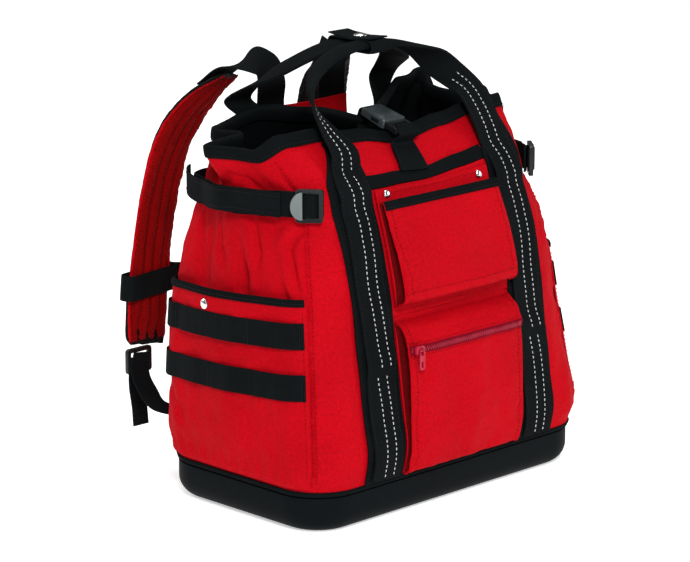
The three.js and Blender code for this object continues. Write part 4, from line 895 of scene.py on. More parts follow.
def mouth_tape(name, node, grid, heights, deep):
    """The folded tape on a pocket's mouth, on the outer rows of its grid."""
    rows = heights > heights[-1] - deep
    part = grid[rows]
    out = grid_facing(grid)[rows]
    swell = np.sin(np.linspace(0.15, 1, part.shape[0]) * math.pi * 0.92)[:, None, None] * 0.5
    top, top_out = part[-1], out[-1]
    up = unit(part[-1] - part[-2])
    outer = np.concatenate([part + out * (1.2 + swell), (top + up * 0.9 + top_out * 0.7)[None]])
    inner = np.concatenate([part + out * 0.25, (top + up * 0.4 + top_out * 0.25)[None]])
    piece = shell(name, outer, inner, "binding", angle=60)
    wear(piece, "black_webbing", node)
    back = np.concatenate([part - out * 1.65, (top + up * 0.4 - top_out * 0.2)[None]])
    far = np.concatenate([part - out * 2.6, (top + up * 0.9 - top_out * 1.9)[None]])
    wear(shell(name + "_inside", back, far, "binding", angle=60), "black_webbing")
    line = part[1] + out[1] * 1.75
    wear(dashes(name + "_thread", [(line, out[1])], "black_thread", 2.4, 1.4, 0.8, 0.4),
         "black_webbing")


def build_zip(grid, heights, red):
    """The zip's tape, its row of teeth and the stitch lines beside it."""
    out = grid_facing(grid)
    levels = np.linspace(159.2, 167.4, 5)

    def at(level):
        """The pocket's row of points at a level, and the directions out of it."""
        i = min(max(np.searchsorted(heights, level) - 1, 0), len(heights) - 2)
        t = (level - heights[i]) / (heights[i + 1] - heights[i])
        return grid[i] * (1 - t) + grid[i + 1] * t, unit(out[i] * (1 - t) + out[i + 1] * t)

    cut = slice(10, grid.shape[1] - 10)
    rows = [at(level) for level in levels]
    middle = np.array([r[0][cut] for r in rows])
    up = np.array([r[1][cut] for r in rows])
    bow = np.array([0.5, 0.95, 1.2, 0.95, 0.5])[:, None, None]
    tape = shell("zip_tape_cloth", middle + up * bow, middle + up * 0.2, "zip", angle=60)
    wear(tape, "crimson_zip", "zip_tape")
    centre, centre_up = at(ZIP_LEVEL)
    centre, centre_up = centre[cut], centre_up[cut]
    run = lengths(centre, 0)
    points, faces = [], []
    for n, s in enumerate(np.arange(2, run[-1] - 2, 1.35)):
        p, q = along_line(s, run, centre), along_line(s + 1, run, centre)
        u = unit(along_line(s, run, centre_up))
        t = unit(q - p)
        b = np.cross(u, t) * (1 if n % 2 else -1)
        base = len(points)
        for end, wide in ((-0.4, 0.55), (2.3, 0.42)):
            for lift, half in ((0.9, wide), (2.1, wide * 0.7)):
                for sign in (-1, 1):
                    points.append(p + b * end + u * lift + t * half * sign)
        a = [base + i for i in range(8)]
        tooth = [(a[0], a[1], a[3], a[2]), (a[4], a[6], a[7], a[5]), (a[0], a[2], a[6], a[4]),
                 (a[1], a[5], a[7], a[3]), (a[2], a[3], a[7], a[6]), (a[0], a[4], a[5], a[1])]
        faces += tooth if n % 2 else [f[::-1] for f in tooth]
    teeth = mesh_piece("zip_teeth", points, faces, "teeth")
    wear(teeth, "crimson_zip")
    for level in (157.4, 169.6):
        line, up_line = at(level)
        red.append((line[cut] + up_line[cut] * 0.3, up_line[cut]))


SIDE_FROM, SIDE_TO = 0.325, 0.735
SIDE_FOOT, SIDE_MOUTH = 46.0, 223.0
ROW_LEVELS = (("lower", 142.0), ("upper", 190.0))


def side_share(place):
    """How far along a side pocket a place lies, 0 at its front edge and 1 at its rear edge."""
    return np.clip((np.abs(place) - SIDE_FROM) / (SIDE_TO - SIDE_FROM), 0, 1)


def drooped(place, height):
    """A side pocket's heights fall towards the back."""
    fall = 11 * side_share(place) * np.minimum((height - SIDE_FOOT) / 90, 1)
    return height - fall


def side_out(place, height):
    """How far a side pocket stands off the bag."""
    t = side_share(place)
    up = smooth((height - SIDE_FOOT) / (SIDE_MOUTH - SIDE_FOOT))
    arch = np.sin(math.pi * t)
    return 2.4 + 1.2 * np.sqrt(np.maximum(arch, 0)) + 6 * up * arch


def side_relief(place, height, seed):
    """The side pocket's own slack and folds."""
    x = place * UNIT_ROUND
    t = side_share(place)
    rows = {"a": [(-0.66, 120), (-0.62, 98), (-0.6, 78)], "b": [(-0.39, 108), (-0.4, 84), (-0.37, 60)],
            "c": [(-0.55, 182), (-0.5, 172), (-0.44, 176)], "d": [(-0.48, 122), (-0.44, 104), (-0.45, 70)]}
    mirrored = {k: [(-a, b - 4) for a, b in v] for k, v in rows.items()}
    total = folds(place, height, rows, 9) + folds(place, height, mirrored, 9)
    total = total * 0.8 + 1.0 * waves(x, height, 74, seed) + 0.4 * waves(x, height, 27, seed + 1)
    total = total + 0.8 * np.sin(x * math.tau / 16 + waves(x, height, 60, seed + 2)) * bell((height - 56) / 9)
    fade = smooth(t / 0.1) * smooth((1 - t) / 0.1) * smooth((height - SIDE_FOOT) / 12)
    fade = fade * (0.12 + 0.88 * smooth((SIDE_MOUTH - 4 - height) / 22))
    return np.maximum(total, -1.2) * fade * settings().fold_depth


def turned_side(side, row):
    """Places on one side, from left to right as seen from outside."""
    return row if side > 0 else -row[::-1]


def build_side_pockets():
    """A pocket on each side with a taped mouth and two rows of webbing in loops."""
    thread, dark = [], []
    for name, side in (("right", 1), ("left", -1)):
        row = turned_side(side, np.concatenate([[SIDE_FROM, SIDE_FROM + 0.003], np.linspace(0.331, 0.729, 84),
                                                [SIDE_TO - 0.003, SIDE_TO]]))[None, :]
        foot = [SIDE_FOOT, SIDE_FOOT + 1, SIDE_FOOT + 3]
        up = np.concatenate([foot, np.linspace(52, SIDE_MOUTH, 58)])[:, None]
        t = side_share(row)
        seam = smooth(np.minimum(t, 1 - t) / 0.016)
        away = 1.4 + (side_out(row, up) + side_relief(row, up, 41 + side) - 1.4) * seam
        away = away * smooth((up - SIDE_FOOT) / 4 + 0.4)
        grid = skin(row, drooped(row, up), away + 0.9, plain=True)
        piece = shell(f"side_pocket_{name}_cloth", grid, grid - grid_facing(grid) * 1.3, "cloth")
        wear(piece, "red_cloth", f"side_pocket_{name}")
        mouth_tape(f"side_pocket_{name}_tape", f"side_pocket_binding_{name}", grid[:, 1:-1], up[:, 0], 8)
        for edge in (0.331, 0.729):
            heights = np.linspace(56, 214, 70)
            place = np.full(heights.shape, side * edge)
            out = 3.6 + side_out(place, heights) * 0.25
            thread.append((skin(place, drooped(place, heights), out, plain=True),
                           facing(place, heights, plain=True)))
        for level, mid in ROW_LEVELS:
            side_row(name, side, level, mid, dark)
    wear(dashes("side_pocket_thread", thread, "red_thread", 2.6, 1.5, 0.7, 0.35), "red_cloth")
    wear(dashes("side_row_thread", dark, "black_thread", 1.8, 0.5, 0.9, 0.45), "black_webbing")


def side_row(name, side, level, mid, dark):
    """One row of webbing across a side pocket, tacked down between loops."""
    row = turned_side(side, np.linspace(0.329, 0.731, 110))[None, :]
    t = side_share(row)
    tacks = np.array([0.03, 0.27, 0.5, 0.74, 0.97])
    gap = np.min(np.abs(t[..., None] - tacks), axis=-1)
    loop = smooth(gap / 0.1)
    up = mid + np.linspace(-12.3, 12.3, 7)[:, None]
    relief_here = side_relief(row, np.full_like(row, mid), 41 + side)
    sag = 0.4 * waves(row * UNIT_ROUND, row * 0, 34, 51)
    out = side_out(row, mid + 0 * up) + np.maximum(relief_here, 0) + 2.0 + 1.5 * loop + sag
    middle = skin(row, drooped(row, up), out, plain=True)
    piece = webbing(f"side_row_{level}_{name}_webbing", middle, 1.7, "webbing_level")
    wear(piece, "black_webbing", f"side_row_{level}_{name}")
    facing_out = grid_facing(middle)
    for tack in tacks:
        column = int(np.argmin(np.abs(t[0] - tack)))
        dark.append((middle[:, column] + facing_out[:, column] * 0.95, facing_out[:, column]))


SHARES = np.linspace(-0.5, 0.5, 9)
STRAP_CENTRE, STRAP_HALF = 106.0, 25.0
HANDLE_WIDTH = 38.0
# x, y, z, turn, width: the front handle's arch from the right strap to the left one
FRONT_ARCH = [
    (103, -63, 332, 0, 38), (102, -54, 350, 0, 38), (103, -41, 368, 0, 38), (103, -27, 383, 0.08, 38),
    (97, -13, 394, 0.22, 35), (84, -4, 406, 0.4, 31), (58, 1, 423, 0.6, 28), (31, 1, 432, 0.85, 26),
    (0, 0, 436, 1, 24),
    (-31, 1, 436, 1, 24), (-60, 0, 430, 0.95, 22), (-84, -4, 419, 0.8, 21), (-97, -10, 404, 0.62, 22),
    (-102, -21, 388, 0.5, 26), (-101, -38, 369, 0.3, 33), (-98, -55, 350, 0.08, 38), (-102, -62, 332, 0, 38),
]
REAR_ARCH = [
    (100, 88, 385, 0, 38), (98, 76, 396, 0.2, 36), (86, 60, 406, 0.6, 30), (60, 45, 419, 0.9, 24),
    (30, 34, 430, 1, 24), (0, 29, 436, 1, 24), (-30, 36, 432, 1, 24), (-60, 44, 422, 0.9, 24),
    (-86, 58, 408, 0.6, 30), (-98, 76, 395, 0.2, 36), (-100, 90, 383, 0, 38),
]


def arch_keys(table, lying, lying_to):
    """Rows of points across a handle's arch, with how far each is turned to a grip."""
    rows = np.array(table, float)
    at = rows[:, :3]
    along = unit(np.gradient(at, axis=0))
    sign = np.where(np.arange(len(rows)) < len(rows) / 2, 1.0, -1.0)
    flat = np.stack([sign * lying, 0 * sign, 0 * sign], -1)
    turn = rows[:, 3:4]
    over = unit(flat * (1 - turn) + np.array([0, lying_to, 0]) * turn)
    over = unit(over - along * np.sum(over * along, axis=1, keepdims=True))
    up = unit(np.cross(over, along))
    crown = (1 - 4 * SHARES**2)[None, :, None] * (0.4 + 2.2 * turn[:, None]) * lying_to
    points = at[:, None] + over[:, None] * SHARES[None, :, None] * rows[:, 4][:, None, None]
    points = points + up[:, None] * crown
    more = np.broadcast_to(turn[:, None], points.shape[:2] + (1,))
    return np.concatenate([points, more], -1)


def strap_shift(side, height):
    """How far the upper webbing wanders sideways on the lower one."""
    return 1.6 * np.sin(height * math.tau / 120 + side) * smooth((height - 60) / 60)


def strap_buckle(side, height):
    """The upper webbing's ripples off the lower one, strongest below the handle."""
    high = bell((height - 318) / 26)
    return 2.4 * high * (1 + np.sin((height - 300) * math.tau / 30 + side)) + 0.3 * (
        1 + np.sin(height * math.tau / 47 + side)) + 1.6 * bell((height - 156) / 9)


def bag_keys(side, heights, centre, out, back=False):
    """Rows of points of webbing that lies on the bag, in the order that handle() needs."""
    if back:
        over = side * centre - SHARES * HANDLE_WIDTH
    else:
        over = side * centre + SHARES * HANDLE_WIDTH
    shift = np.zeros(len(heights)) if back else strap_shift(side, heights)
    places = across(heights, over[None, :] + shift[:, None], back)
    lift = np.zeros(len(heights)) if back else strap_buckle(side, heights)
    points = skin(places, heights[:, None], out + lift[:, None])
    return np.concatenate([points, np.zeros(points.shape[:2] + (1,))], -1)


def handle(name, node, arch, lying, heights, centre, out, back=False):
    """A webbing handle: up the bag, over its arch as a folded grip, and down again."""
    up = bag_keys(1, heights, centre, out, back)
    down = bag_keys(-1, heights, centre, out, back)[::-1, ::-1]
    keys = np.concatenate([up, arch_keys(arch, lying, -1.0 if lying > 0 else 1.0), down])
    grid = spline(keys, 2.6)
    middle, turn = grid[..., :3], grid[:, 4, 3]
    piece = webbing(name, middle, 1.8 + 2.6 * smooth(turn), "webbing", 0.7)
    wear(piece, "black_webbing", node)
    return middle, grid_facing(middle), turn


def build_front_straps():
    """The wide webbing up the front, the upper webbing with its bright stitches, and both handles."""
    heights = np.linspace(43.6, 350, 110)
    lean = smooth((heights - 318) / 30)[:, None] * np.linspace(20, 2, 13)
    for name, side in (("right", 1), ("left", -1)):
        places = across(heights, side * STRAP_CENTRE + np.linspace(-STRAP_HALF, STRAP_HALF, 13) + lean)
        give = 0.35 * (1 + np.sin(heights * math.tau / 61 + side)) + 1.2 * bell((heights - 322) / 15)
        middle = skin(places, heights[:, None], 2.0 + give[:, None])
        piece = webbing(f"front_strap_{name}_webbing", middle, 1.8, "webbing")
        wear(piece, "black_webbing", f"front_strap_{name}")
    middle, out, turn = handle("front_handle_webbing", "front_handle", FRONT_ARCH, 1.0,
                               np.arange(46, 319, 8.0), STRAP_CENTRE, 4.9)
    lines, edges = [], []
    rows = np.arange(len(middle))
    z = middle[:, 4, 2]
    for first in (True, False):
        half = (rows < len(rows) / 2) if first else (rows >= len(rows) / 2)
        side = 1 if first else -1
        for low, high, drift in ((46, 148, -1), (152, 396 if first else 403, 1)):
            part = np.where(half & (z > low) & (z < high))[0]
            if not first:
                part = part[::-1]
            for share in (-1, 1):
                level = z[part]
                jog = drift * 2.6 * bell((level - 150) / 16) + 0.5 * np.sin(level / 13.0)
                column = 0.5 + side * (share * 5.8 + 3 * smooth((340 - level) / 60) + jog) / HANDLE_WIDTH
                lines.append(bent_line(middle[part], out[part], column, 1.1))
        for share in (0.06, 0.94):
            part = np.where(half & (z > 50) & (z < 400))[0]
            edges.append(grid_line(middle[part], share, out[part], 1.05))
    grip = np.where(turn > 0.85)[0]
    for share in (0.12, 0.88):
        edges.append(grid_line(middle[grip], share, out[grip], 2.5))
    wear(dashes("front_strap_thread", lines, "light_thread", 3.1, 1.9, 1.25, 0.55), "black_webbing")
    back_line = build_rear_handle()
    wear(dashes("handle_thread", edges + back_line, "black_thread", 2.8, 1.5, 0.8, 0.4),
         "black_webbing")
    build_tab()


def bent_line(grid, out, column, lift):
    """A sewn line whose share of the width changes from row to row."""
    at = np.clip(column, 0, 1) * (grid.shape[1] - 1)
    i = np.minimum(at.astype(int), grid.shape[1] - 2)
    t = (at - i)[:, None]
    rows = np.arange(len(grid))
    line = grid[rows, i] * (1 - t) + grid[rows, i + 1] * t
    up = unit(out[rows, i] * (1 - t) + out[rows, i + 1] * t)
    return line + up * lift, up


def build_rear_handle():
    """The handle behind the mouth."""
    middle, out, _ = handle("rear_handle_webbing", "rear_handle", REAR_ARCH, -1.0,
                            np.arange(230, 349, 8.0), 88.0, 2.6, True)
    z = middle[:, 4, 2]
    rows = np.arange(len(middle))
    lines = []
    for first in (True, False):
        part = np.where(((rows < len(rows) / 2) == first) & (z < 392))[0]
        for share in (0.07, 0.93):
            lines.append(grid_line(middle[part], share, out[part], 1.05))
    return lines


def ring_of(centre, first, second, wide, tall, radius, steps=6):
    """Points round a rounded rectangle that lies along two directions."""
    w, h, r = wide / 2, tall / 2, min(radius, wide / 2 - 0.01, tall / 2 - 0.01)
    points = []
    for sx, sy, start in ((1, -1, -90), (1, 1, 0), (-1, 1, 90), (-1, -1, 180)):
        for k in range(steps + 1):
            a = math.radians(start + 90 * k / steps)
            points.append((sx * (w - r) + r * math.cos(a), sy * (h - r) + r * math.sin(a)))
    points = np.array(points)
    return centre + points[:, :1] * first + points[:, 1:] * second


def outward(piece):
    """Turns a closed piece's faces outwards."""
    bm = bmesh.new()
    bm.from_mesh(piece.data)
    if bm.calc_volume(signed=True) < 0:
        bmesh.ops.reverse_faces(bm, faces=bm.faces)
        bm.to_mesh(piece.data)
    bm.free()
    return piece


TAB_X, TAB_HALF = -8.0, 14.0


def build_tab():
    """The webbing tab round both grips, with its snap."""
    columns = np.linspace(-TAB_HALF, TAB_HALF, 9)
    rings_out, rings_in = [], []
    for x in columns:
        rise = 0.35 * math.sin(x * 0.3)
        centre = np.array([TAB_X + x, 15.0, 435.6 + rise])
        for rings, grow in ((rings_out, 1.8), (rings_in, 0.0)):
            ring = ring_of(centre, np.array([0, 1.0, 0]), np.array([0, 0, 1.0]), 57 + 2 * grow, 9.4 + 2 * grow,
                           4.4 + grow, 8)
            dip = 1.1 * bell((ring[:, 1] - 13) / 7) * (ring[:, 2] > 436)
            ring[:, 2] -= dip
            rings.append(ring)
    tab = outward(shell("handle_tab_webbing", np.array(rings_out), np.array(rings_in), "webbing_level",
                        around=True, edge=0.5))
    wear(tab, "black_webbing", "handle_tab")
    y = np.linspace(-10, 45, 20)
    flap = np.stack(np.broadcast_arrays(TAB_X + columns[None, :] * 0.96, y[:, None],
                                        443.0 + 0.9 * bell((y[:, None] + 10) / 7) + 1.6 * bell((y[:, None] - 45) / 8)
                                        - 0.9 * bell((y[:, None] - 14) / 8)), -1)
    piece = outward(webbing("handle_tab_flap", flap, 1.6, "webbing"))
    wear(piece, "black_webbing")
    snap("tab_snap_cap", 7.0, 2.8, (TAB_X, 14, 443.1), (0, 0, 1), "metal")
    wear(bpy.data.objects["tab_snap_cap"], "polished_metal", "tab_snap")


def turned_to(at, out, along=None):
    """The matrix that stands a piece made at the origin, facing +Z, at a point in millimetres."""
    z = Vector(out).normalized()
    x = Vector(along) if along is not None else Vector((0, 0, 1)).cross(z)
    if x.length < 1e-6:
        x = Vector((1, 0, 0))
    x = (x - z * x.dot(z)).normalized()
    y = z.cross(x)
    place = Matrix((x, y, z)).transposed().to_4x4()
    place.translation = Vector(at) * MM
    return place


def primitive(kind, name, **sizes):
    """Adds a primitive on its own and gives it a name."""
    if bpy.context.object and bpy.context.object.mode != "OBJECT":
        bpy.ops.object.mode_set(mode="OBJECT")
    bpy.ops.object.select_all(action="DESELECT")
    getattr(bpy.ops.mesh, f"primitive_{kind}_add")(**sizes)
    piece = bpy.context.object
    piece.name = piece.data.name = name
    bpy.ops.object.transform_apply(location=True, rotation=True, scale=True)
    return piece


def cube(name, size, at=(0, 0, 0)):
    """A block of a size in millimetres, to be shaped."""
    return primitive("cube", name, size=1, location=Vector(at) * MM, scale=Vector(size) * MM)


def pick(piece, kind, test):
    """Enters edit mode and selects the vertices, edges or faces that pass a test on their middle, in
    millimetres, and their direction or normal."""
    bpy.context.view_layer.objects.active = piece
    bpy.ops.object.mode_set(mode="EDIT")
    bpy.context.tool_settings.mesh_select_mode = (kind == "VERT", kind == "EDGE", kind == "FACE")
    bpy.ops.mesh.select_all(action="DESELECT")
    bm = bmesh.from_edit_mesh(piece.data)
    found = 0
    if kind == "FACE":
        for f in bm.faces:
            if test(f.calc_center_median() / MM, f.normal):
                f.select_set(True)
                found += 1
    elif kind == "EDGE":
        for e in bm.edges:
            a, b = e.verts
            if test((a.co + b.co) / 2 / MM, (b.co - a.co).normalized()):
                e.select_set(True)
                found += 1
    else:
        for v in bm.verts:
            if test(v.co / MM, v.normal):
                v.select_set(True)
                found += 1
    bm.select_flush_mode()
    bmesh.update_edit_mesh(piece.data)
    if not found:
        raise RuntimeError(f"{piece.name}: nothing was selected")


def done():
    """Leaves edit mode."""
    bpy.ops.object.mode_set(mode="OBJECT")


def bevel_edges(piece, test, width, segments):
    """Rounds the edges that pass a test."""
    pick(piece, "EDGE", test)
    bpy.ops.mesh.bevel(offset=width * MM, segments=segments, affect="EDGES", clamp_overlap=True)
    done()


def carve(piece, *cutters):
    """Cuts other pieces out of a piece, and deletes them."""
    for cutter in cutters:
        cut = piece.modifiers.new("cut", "BOOLEAN")
        cut.operation, cut.object, cut.solver = "DIFFERENCE", cutter, "EXACT"
        apply_all(piece)
        bpy.data.objects.remove(cutter)
    return piece


def finished(piece, material, width=0.5, segments=3, angle=35, smooth_angle=40):
    """Rounds a hard piece's edges, shades it and gives it its material."""
    rounded(piece, width, segments, angle)
    piece.data.shade_smooth()
    piece.data.set_sharp_from_angle(angle=math.radians(smooth_angle))
    piece.data.materials.clear()
    piece.data.materials.append(FINISHES[material])
    return piece


def stand(piece, at, out, along=None):
    """Moves a piece made at the origin to its point and turn."""
    piece.data.transform(turned_to(at, out, along))
    piece.data.update()
    return piece


RING_CAP = ((0.12, 0.22), (0.07, -0.05), (0.14, 0.2), (0.2, 0.14), (0.2, 0.06))
DOME_CAP = ((0.06, 0.16), (0.12, 0.2), (0.18, 0.16), (0.22, 0.1), (0.2, 0.04))


def snap(name, radius, height, at, out, material, steps=RING_CAP):
    """A round snap or rivet: a domed cap with a rolled rim and a shallow ring."""
    piece = primitive("cylinder", name, vertices=40, radius=radius * MM, depth=height * 0.4 * MM,
                      location=(0, 0, height * 0.2 * MM))
    for thickness, rise in steps:
        pick(piece, "FACE", lambda c, n: n.z > 0.95 and math.hypot(c.x, c.y) < radius * 0.05)
        bpy.ops.mesh.inset(thickness=radius * thickness * MM, depth=height * rise * MM)
        done()
    finished(piece, material, 0.15, 2, 30, 60)
    return stand(piece, at, out)


RIVET_OFF, RIVET_LEVEL = 64.0, 307.0
SNAP_PLACE, SNAP_LEVEL = 0.54, 208.5


def build_fittings():
    """Rivets, snaps, ladder locks and buckles."""
    for name, side in (("right", 1), ("left", -1)):
        place = float(reach(RIVET_LEVEL, RIVET_OFF)) * side
        at = skin(place, RIVET_LEVEL, 5.3)
        wear(snap(f"pocket_rivet_{name}_cap", 4.0, 2.6, at, facing(place, RIVET_LEVEL), "metal", DOME_CAP),
             "polished_metal", f"pocket_rivet_{name}")
        place = SNAP_PLACE * side
        height = float(drooped(SNAP_PLACE, SNAP_LEVEL))
        at = skin(place, height, float(side_out(SNAP_PLACE, SNAP_LEVEL)) + 1.4, plain=True)
        wear(snap(f"side_snap_{name}_cap", 5.2, 2.6, at, facing(place, height), "metal"),
             "polished_metal", f"side_snap_{name}")
        ladder_lock(name, side)
        lower_lock(name, side)
    build_mouth_buckle()
    build_chest_buckle()


def lock_body(name):
    """A ladder lock: a plate with two slots, a bar between them and raised rails."""
    plate = cube(name, (26, 32, 4.6))
    bevel_edges(plate, lambda c, d: abs(d.z) > 0.9, 3.2, 5)
    pick(plate, "FACE", lambda c, n: n.z > 0.9)
    bpy.ops.mesh.inset(thickness=2.6 * MM, depth=-0.7 * MM)
    done()
    carve(plate, cube("cut", (5.2, 24, 12), (-6.2, 0, 0)), cube("cut", (5.2, 23, 12), (6.2, 0, 0)))
    return finished(plate, "plastic", 0.55, 3)


def ladder_lock(name, side):
    """The lock at a side strap's front end, its lifted lever and the webbing round its bar."""
    place = 0.312 * side
    out = facing(place, SIDE_STRAP_SEWN) * (1, 1, 0)
    at = side_strap_point(side, LOCK_PLACE, SIDE_STRAP_HEIGHT, 1.8 + 1 + 2.5)
    along = np.array([-out[1], out[0], 0])
    front = -1 if side > 0 else 1  # local x that runs to the front
    body = stand(lock_body(f"ladder_lock_{name}_frame"), at, out, along)
    wear(body, "buckle_plastic", f"ladder_lock_{name}")
    lever = primitive("cylinder", f"ladder_lock_{name}_lever", vertices=48, radius=13.4 * MM, depth=2.2 * MM)
    pick(lever, "VERT", lambda c, n: True)
    bpy.ops.mesh.bisect(plane_co=(0, 0, 0), plane_no=(front, 0, 0), use_fill=True, clear_outer=True)
    done()
    pick(lever, "VERT", lambda c, n: True)
    bpy.ops.transform.resize(value=(0.86, 1, 1), center_override=(0, 0, 0))
    done()
    pick(lever, "FACE", lambda c, n: n.z > 0.9)
    bpy.ops.mesh.inset(thickness=2.2 * MM, depth=-0.5 * MM)
    done()
    finished(lever, "lever", 0.5, 3)
    lever.data.transform(Matrix.Translation(Vector((-front * 6.5, 0, 2.6)) * MM) @
                         Matrix.Rotation(front * math.radians(14), 4, "Y"))
    wear(stand(lever, at, out, along), "buckle_plastic")
    path = [(-12, -3.2), (-9, -2.2), (-6.4, 0.6), (-3, 3.3), (0, 3.9), (3, 3.3), (6.4, 0.6), (9, -2.2),
            (12, -3.2)]
    keys = np.array([[(x, y, z) for y in np.linspace(-11.2, 11.2, 7)] for x, z in path], float)
    wrap = outward(webbing(f"ladder_lock_{name}_webbing", spline(keys, 1.0), 1.5, "webbing"))
    wear(stand(wrap, at, out, along), "black_webbing")


def lower_lock(name, side):
    """The lock below a shoulder pad."""
    row = LOWER_STRAP[0]
    body = lock_body(f"lower_lock_{name}_frame")
    at = np.array([side * row[0], row[1] + 5.4, row[2] - 9.0])
    wear(stand(body, at, (0, 1, 0), (0, 0, 1)), "buckle_plastic", f"lower_lock_{name}")


BUCKLE_LOW, BUCKLE_HIGH = np.array([0, -42.0, 356.0]), np.array([0, 9.0, 371.0])
BUCKLE_SPLIT = 0.33


def build_mouth_buckle():
    """The side-release buckle over the mouth, and its webbing."""
    run = BUCKLE_HIGH - BUCKLE_LOW
    length = float(np.linalg.norm(run))
    out = np.array([0, -run[2], run[1]])
    male_length = length * BUCKLE_SPLIT
    female_length = length * (1 - BUCKLE_SPLIT) - 0.6
    male = cube("buckle_male_body", (male_length, 28, 5.6))
    bevel_edges(male, lambda c, d: abs(d.z) > 0.9 and c.x < 0, 2.4, 5)
    carve(male, cube("cut", (4.2, 21, 14), (-male_length * 0.24, 0, 0)),
          cube("cut", (3.4, 20, 14), (male_length * 0.2, 0, 0)))
    finished(male, "plastic", 0.6, 3)
    male_at = BUCKLE_LOW + run * BUCKLE_SPLIT / 2
    wear(stand(male, male_at, out, run), "buckle_plastic", "buckle_male")
    female = cube("buckle_female_body", (female_length, 31, 7.6))
    pick(female, "VERT", lambda c, n: c.x > 0)
    bpy.ops.transform.resize(value=(1, 0.86, 0.86), center_override=(female_length / 2 * MM, 0, 0))
    done()
    bevel_edges(female, lambda c, d: abs(d.z) > 0.9, 3.6, 5)
    pick(female, "FACE", lambda c, n: n.z > 0.9)
    bpy.ops.mesh.inset(thickness=2.4 * MM, depth=0.8 * MM)
    bpy.ops.mesh.inset(thickness=0.8 * MM, depth=0.4 * MM)
    done()
    carve(female, cube("cut", (11, 8, 4.4), (-5.0, 17.0, -0.3)), cube("cut", (11, 8, 4.4), (-5.0, -17.0, -0.3)),
          cube("cut", (3.4, 21, 14), (female_length * 0.39, 0, 0)))
    # the female body takes the glossy plastic, whose lighter colour is a painted highlight
    finished(female, "gloss_plastic", 0.7, 3)
    female_at = BUCKLE_LOW + run * (BUCKLE_SPLIT + 0.01 + (1 - BUCKLE_SPLIT - 0.01) / 2)
    wear(stand(female, female_at, out, run), "buckle_plastic", "buckle_female")
    for sign in (-1, 1):
        name = "right" if sign > 0 else "left"
        prong = cube(f"buckle_prong_{name}", (13, 3.8, 3.2), (-4.6, sign * 12.6, -0.3))
        bevel_edges(prong, lambda c, d: abs(d.z) > 0.9 and c.y * sign > 12.6, 1.6, 4)
        finished(prong, "plastic", 0.4, 2)
        wear(stand(prong, female_at, out, run), "buckle_plastic")
    heights = np.linspace(323, 349, 6)
    ends = np.linspace((-33, 6), (-20, 12), 6)
    places = across(heights, np.linspace(ends[:, 0], ends[:, 1], 7).T)
    keys = list(skin(places, heights[:, None], 4.2))
    over = np.linspace(-12, 12, 7)

    def level(y, z, wide=1.0, shift=0.0):
        """One row across the strap."""
        return np.stack([over * wide + shift, np.full(7, y), np.full(7, z)], -1)

    keys += [level(-47.5, 355.5, 1.2, -2), level(-42, 359.3, 1.1, -1), level(-36.5, 361.5, 0.8),
             level(-32.5, 358.6, 0.8), level(-33.5, 354.2, 0.8), level(-41, 353.6, 0.9)]
    strap = outward(webbing("centre_strap_webbing", spline(keys, 1.6), 1.6, "webbing"))
    wear(strap, "black_webbing", "centre_strap")
    loop = [level(4.5, 366.5, 0.8), level(7.5, 372.2, 0.8), level(12, 372.0, 0.84), level(14.5, 366, 0.92),
            level(14.2, 356, 1.0), level(13.6, 345, 1.0)]
    piece = outward(webbing("back_loop_webbing", spline(loop, 1.6), 1.6, "webbing"))
    wear(piece, "black_webbing")


SIDE_STRAP_HEIGHT = 310.0
SIDE_STRAP_SEWN = 306.0  # the height whose outline it follows
STRAP_FROM, STRAP_TO = 0.285, 0.76
END_FROM, END_TO = 0.352, 0.715
LOCK_PLACE = 0.308


def side_strap_point(side, place, height, out):
    """A point on a side strap: place runs along it, height is before its fall to the back."""
    t = (place - STRAP_FROM) / (STRAP_TO - STRAP_FROM)
    bow = 6 * np.sin(math.pi * t) ** 2
    fall = 8 * t
    point = skin(place, SIDE_STRAP_SEWN - fall, 4.6 + bow + out)
    point[..., 2] = height - fall
    point[..., 0] *= side
    return point


def build_side_straps():
    """The side straps and their loose ends."""
    dark = []
    for name, side in (("right", 1), ("left", -1)):
        row = np.linspace(STRAP_FROM, STRAP_TO, 120)
        row = row if side > 0 else row[::-1]
        up = np.linspace(-12.5, 12.5, 7)[:, None]
        sag = 0.7 * waves(row * UNIT_ROUND, row * 0, 60, 61 + side)[None, :]
        middle = side_strap_point(side, row[None, :] + 0 * up, SIDE_STRAP_HEIGHT + up + sag, 0.9)
        piece = outward(webbing(f"side_strap_{name}_webbing", middle, 1.7, "webbing_level"))
        wear(piece, "black_webbing", f"side_strap_{name}")
        row = np.linspace(END_FROM, END_TO, 90)
        row = row if side > 0 else row[::-1]
        t = (row - END_FROM) / (END_TO - END_FROM)
        lift = 3.4 + 1.1 * np.sin(t * math.tau * 1.6) ** 2 + 8 * smooth((t - 0.78) / 0.22)
        rise = 1.2 * np.sin(t * math.tau) + 5 * smooth((t - 0.72) / 0.28)
        middle = side_strap_point(side, row[None, :] + 0 * up, SIDE_STRAP_HEIGHT + up * 0.97 + rise[None, :],
                                  lift[None, :])
        piece = outward(webbing(f"side_strap_{name}_end", middle, 1.6, "webbing_level"))
        wear(piece, "black_webbing", f"side_strap_end_{name}")
        out = grid_facing(middle)
        for share in (0.1, 0.9):
            at = round(share * 6)
            dark.append((middle[at] + out[at] * 0.9 * np.sign(np.sum(out[at, 40] * facing(side * 0.5, 300.0))),
                         out[at]))
    wear(dashes("side_strap_thread", dark, "black_thread", 2.6, 1.4, 0.8, 0.4), "black_webbing")


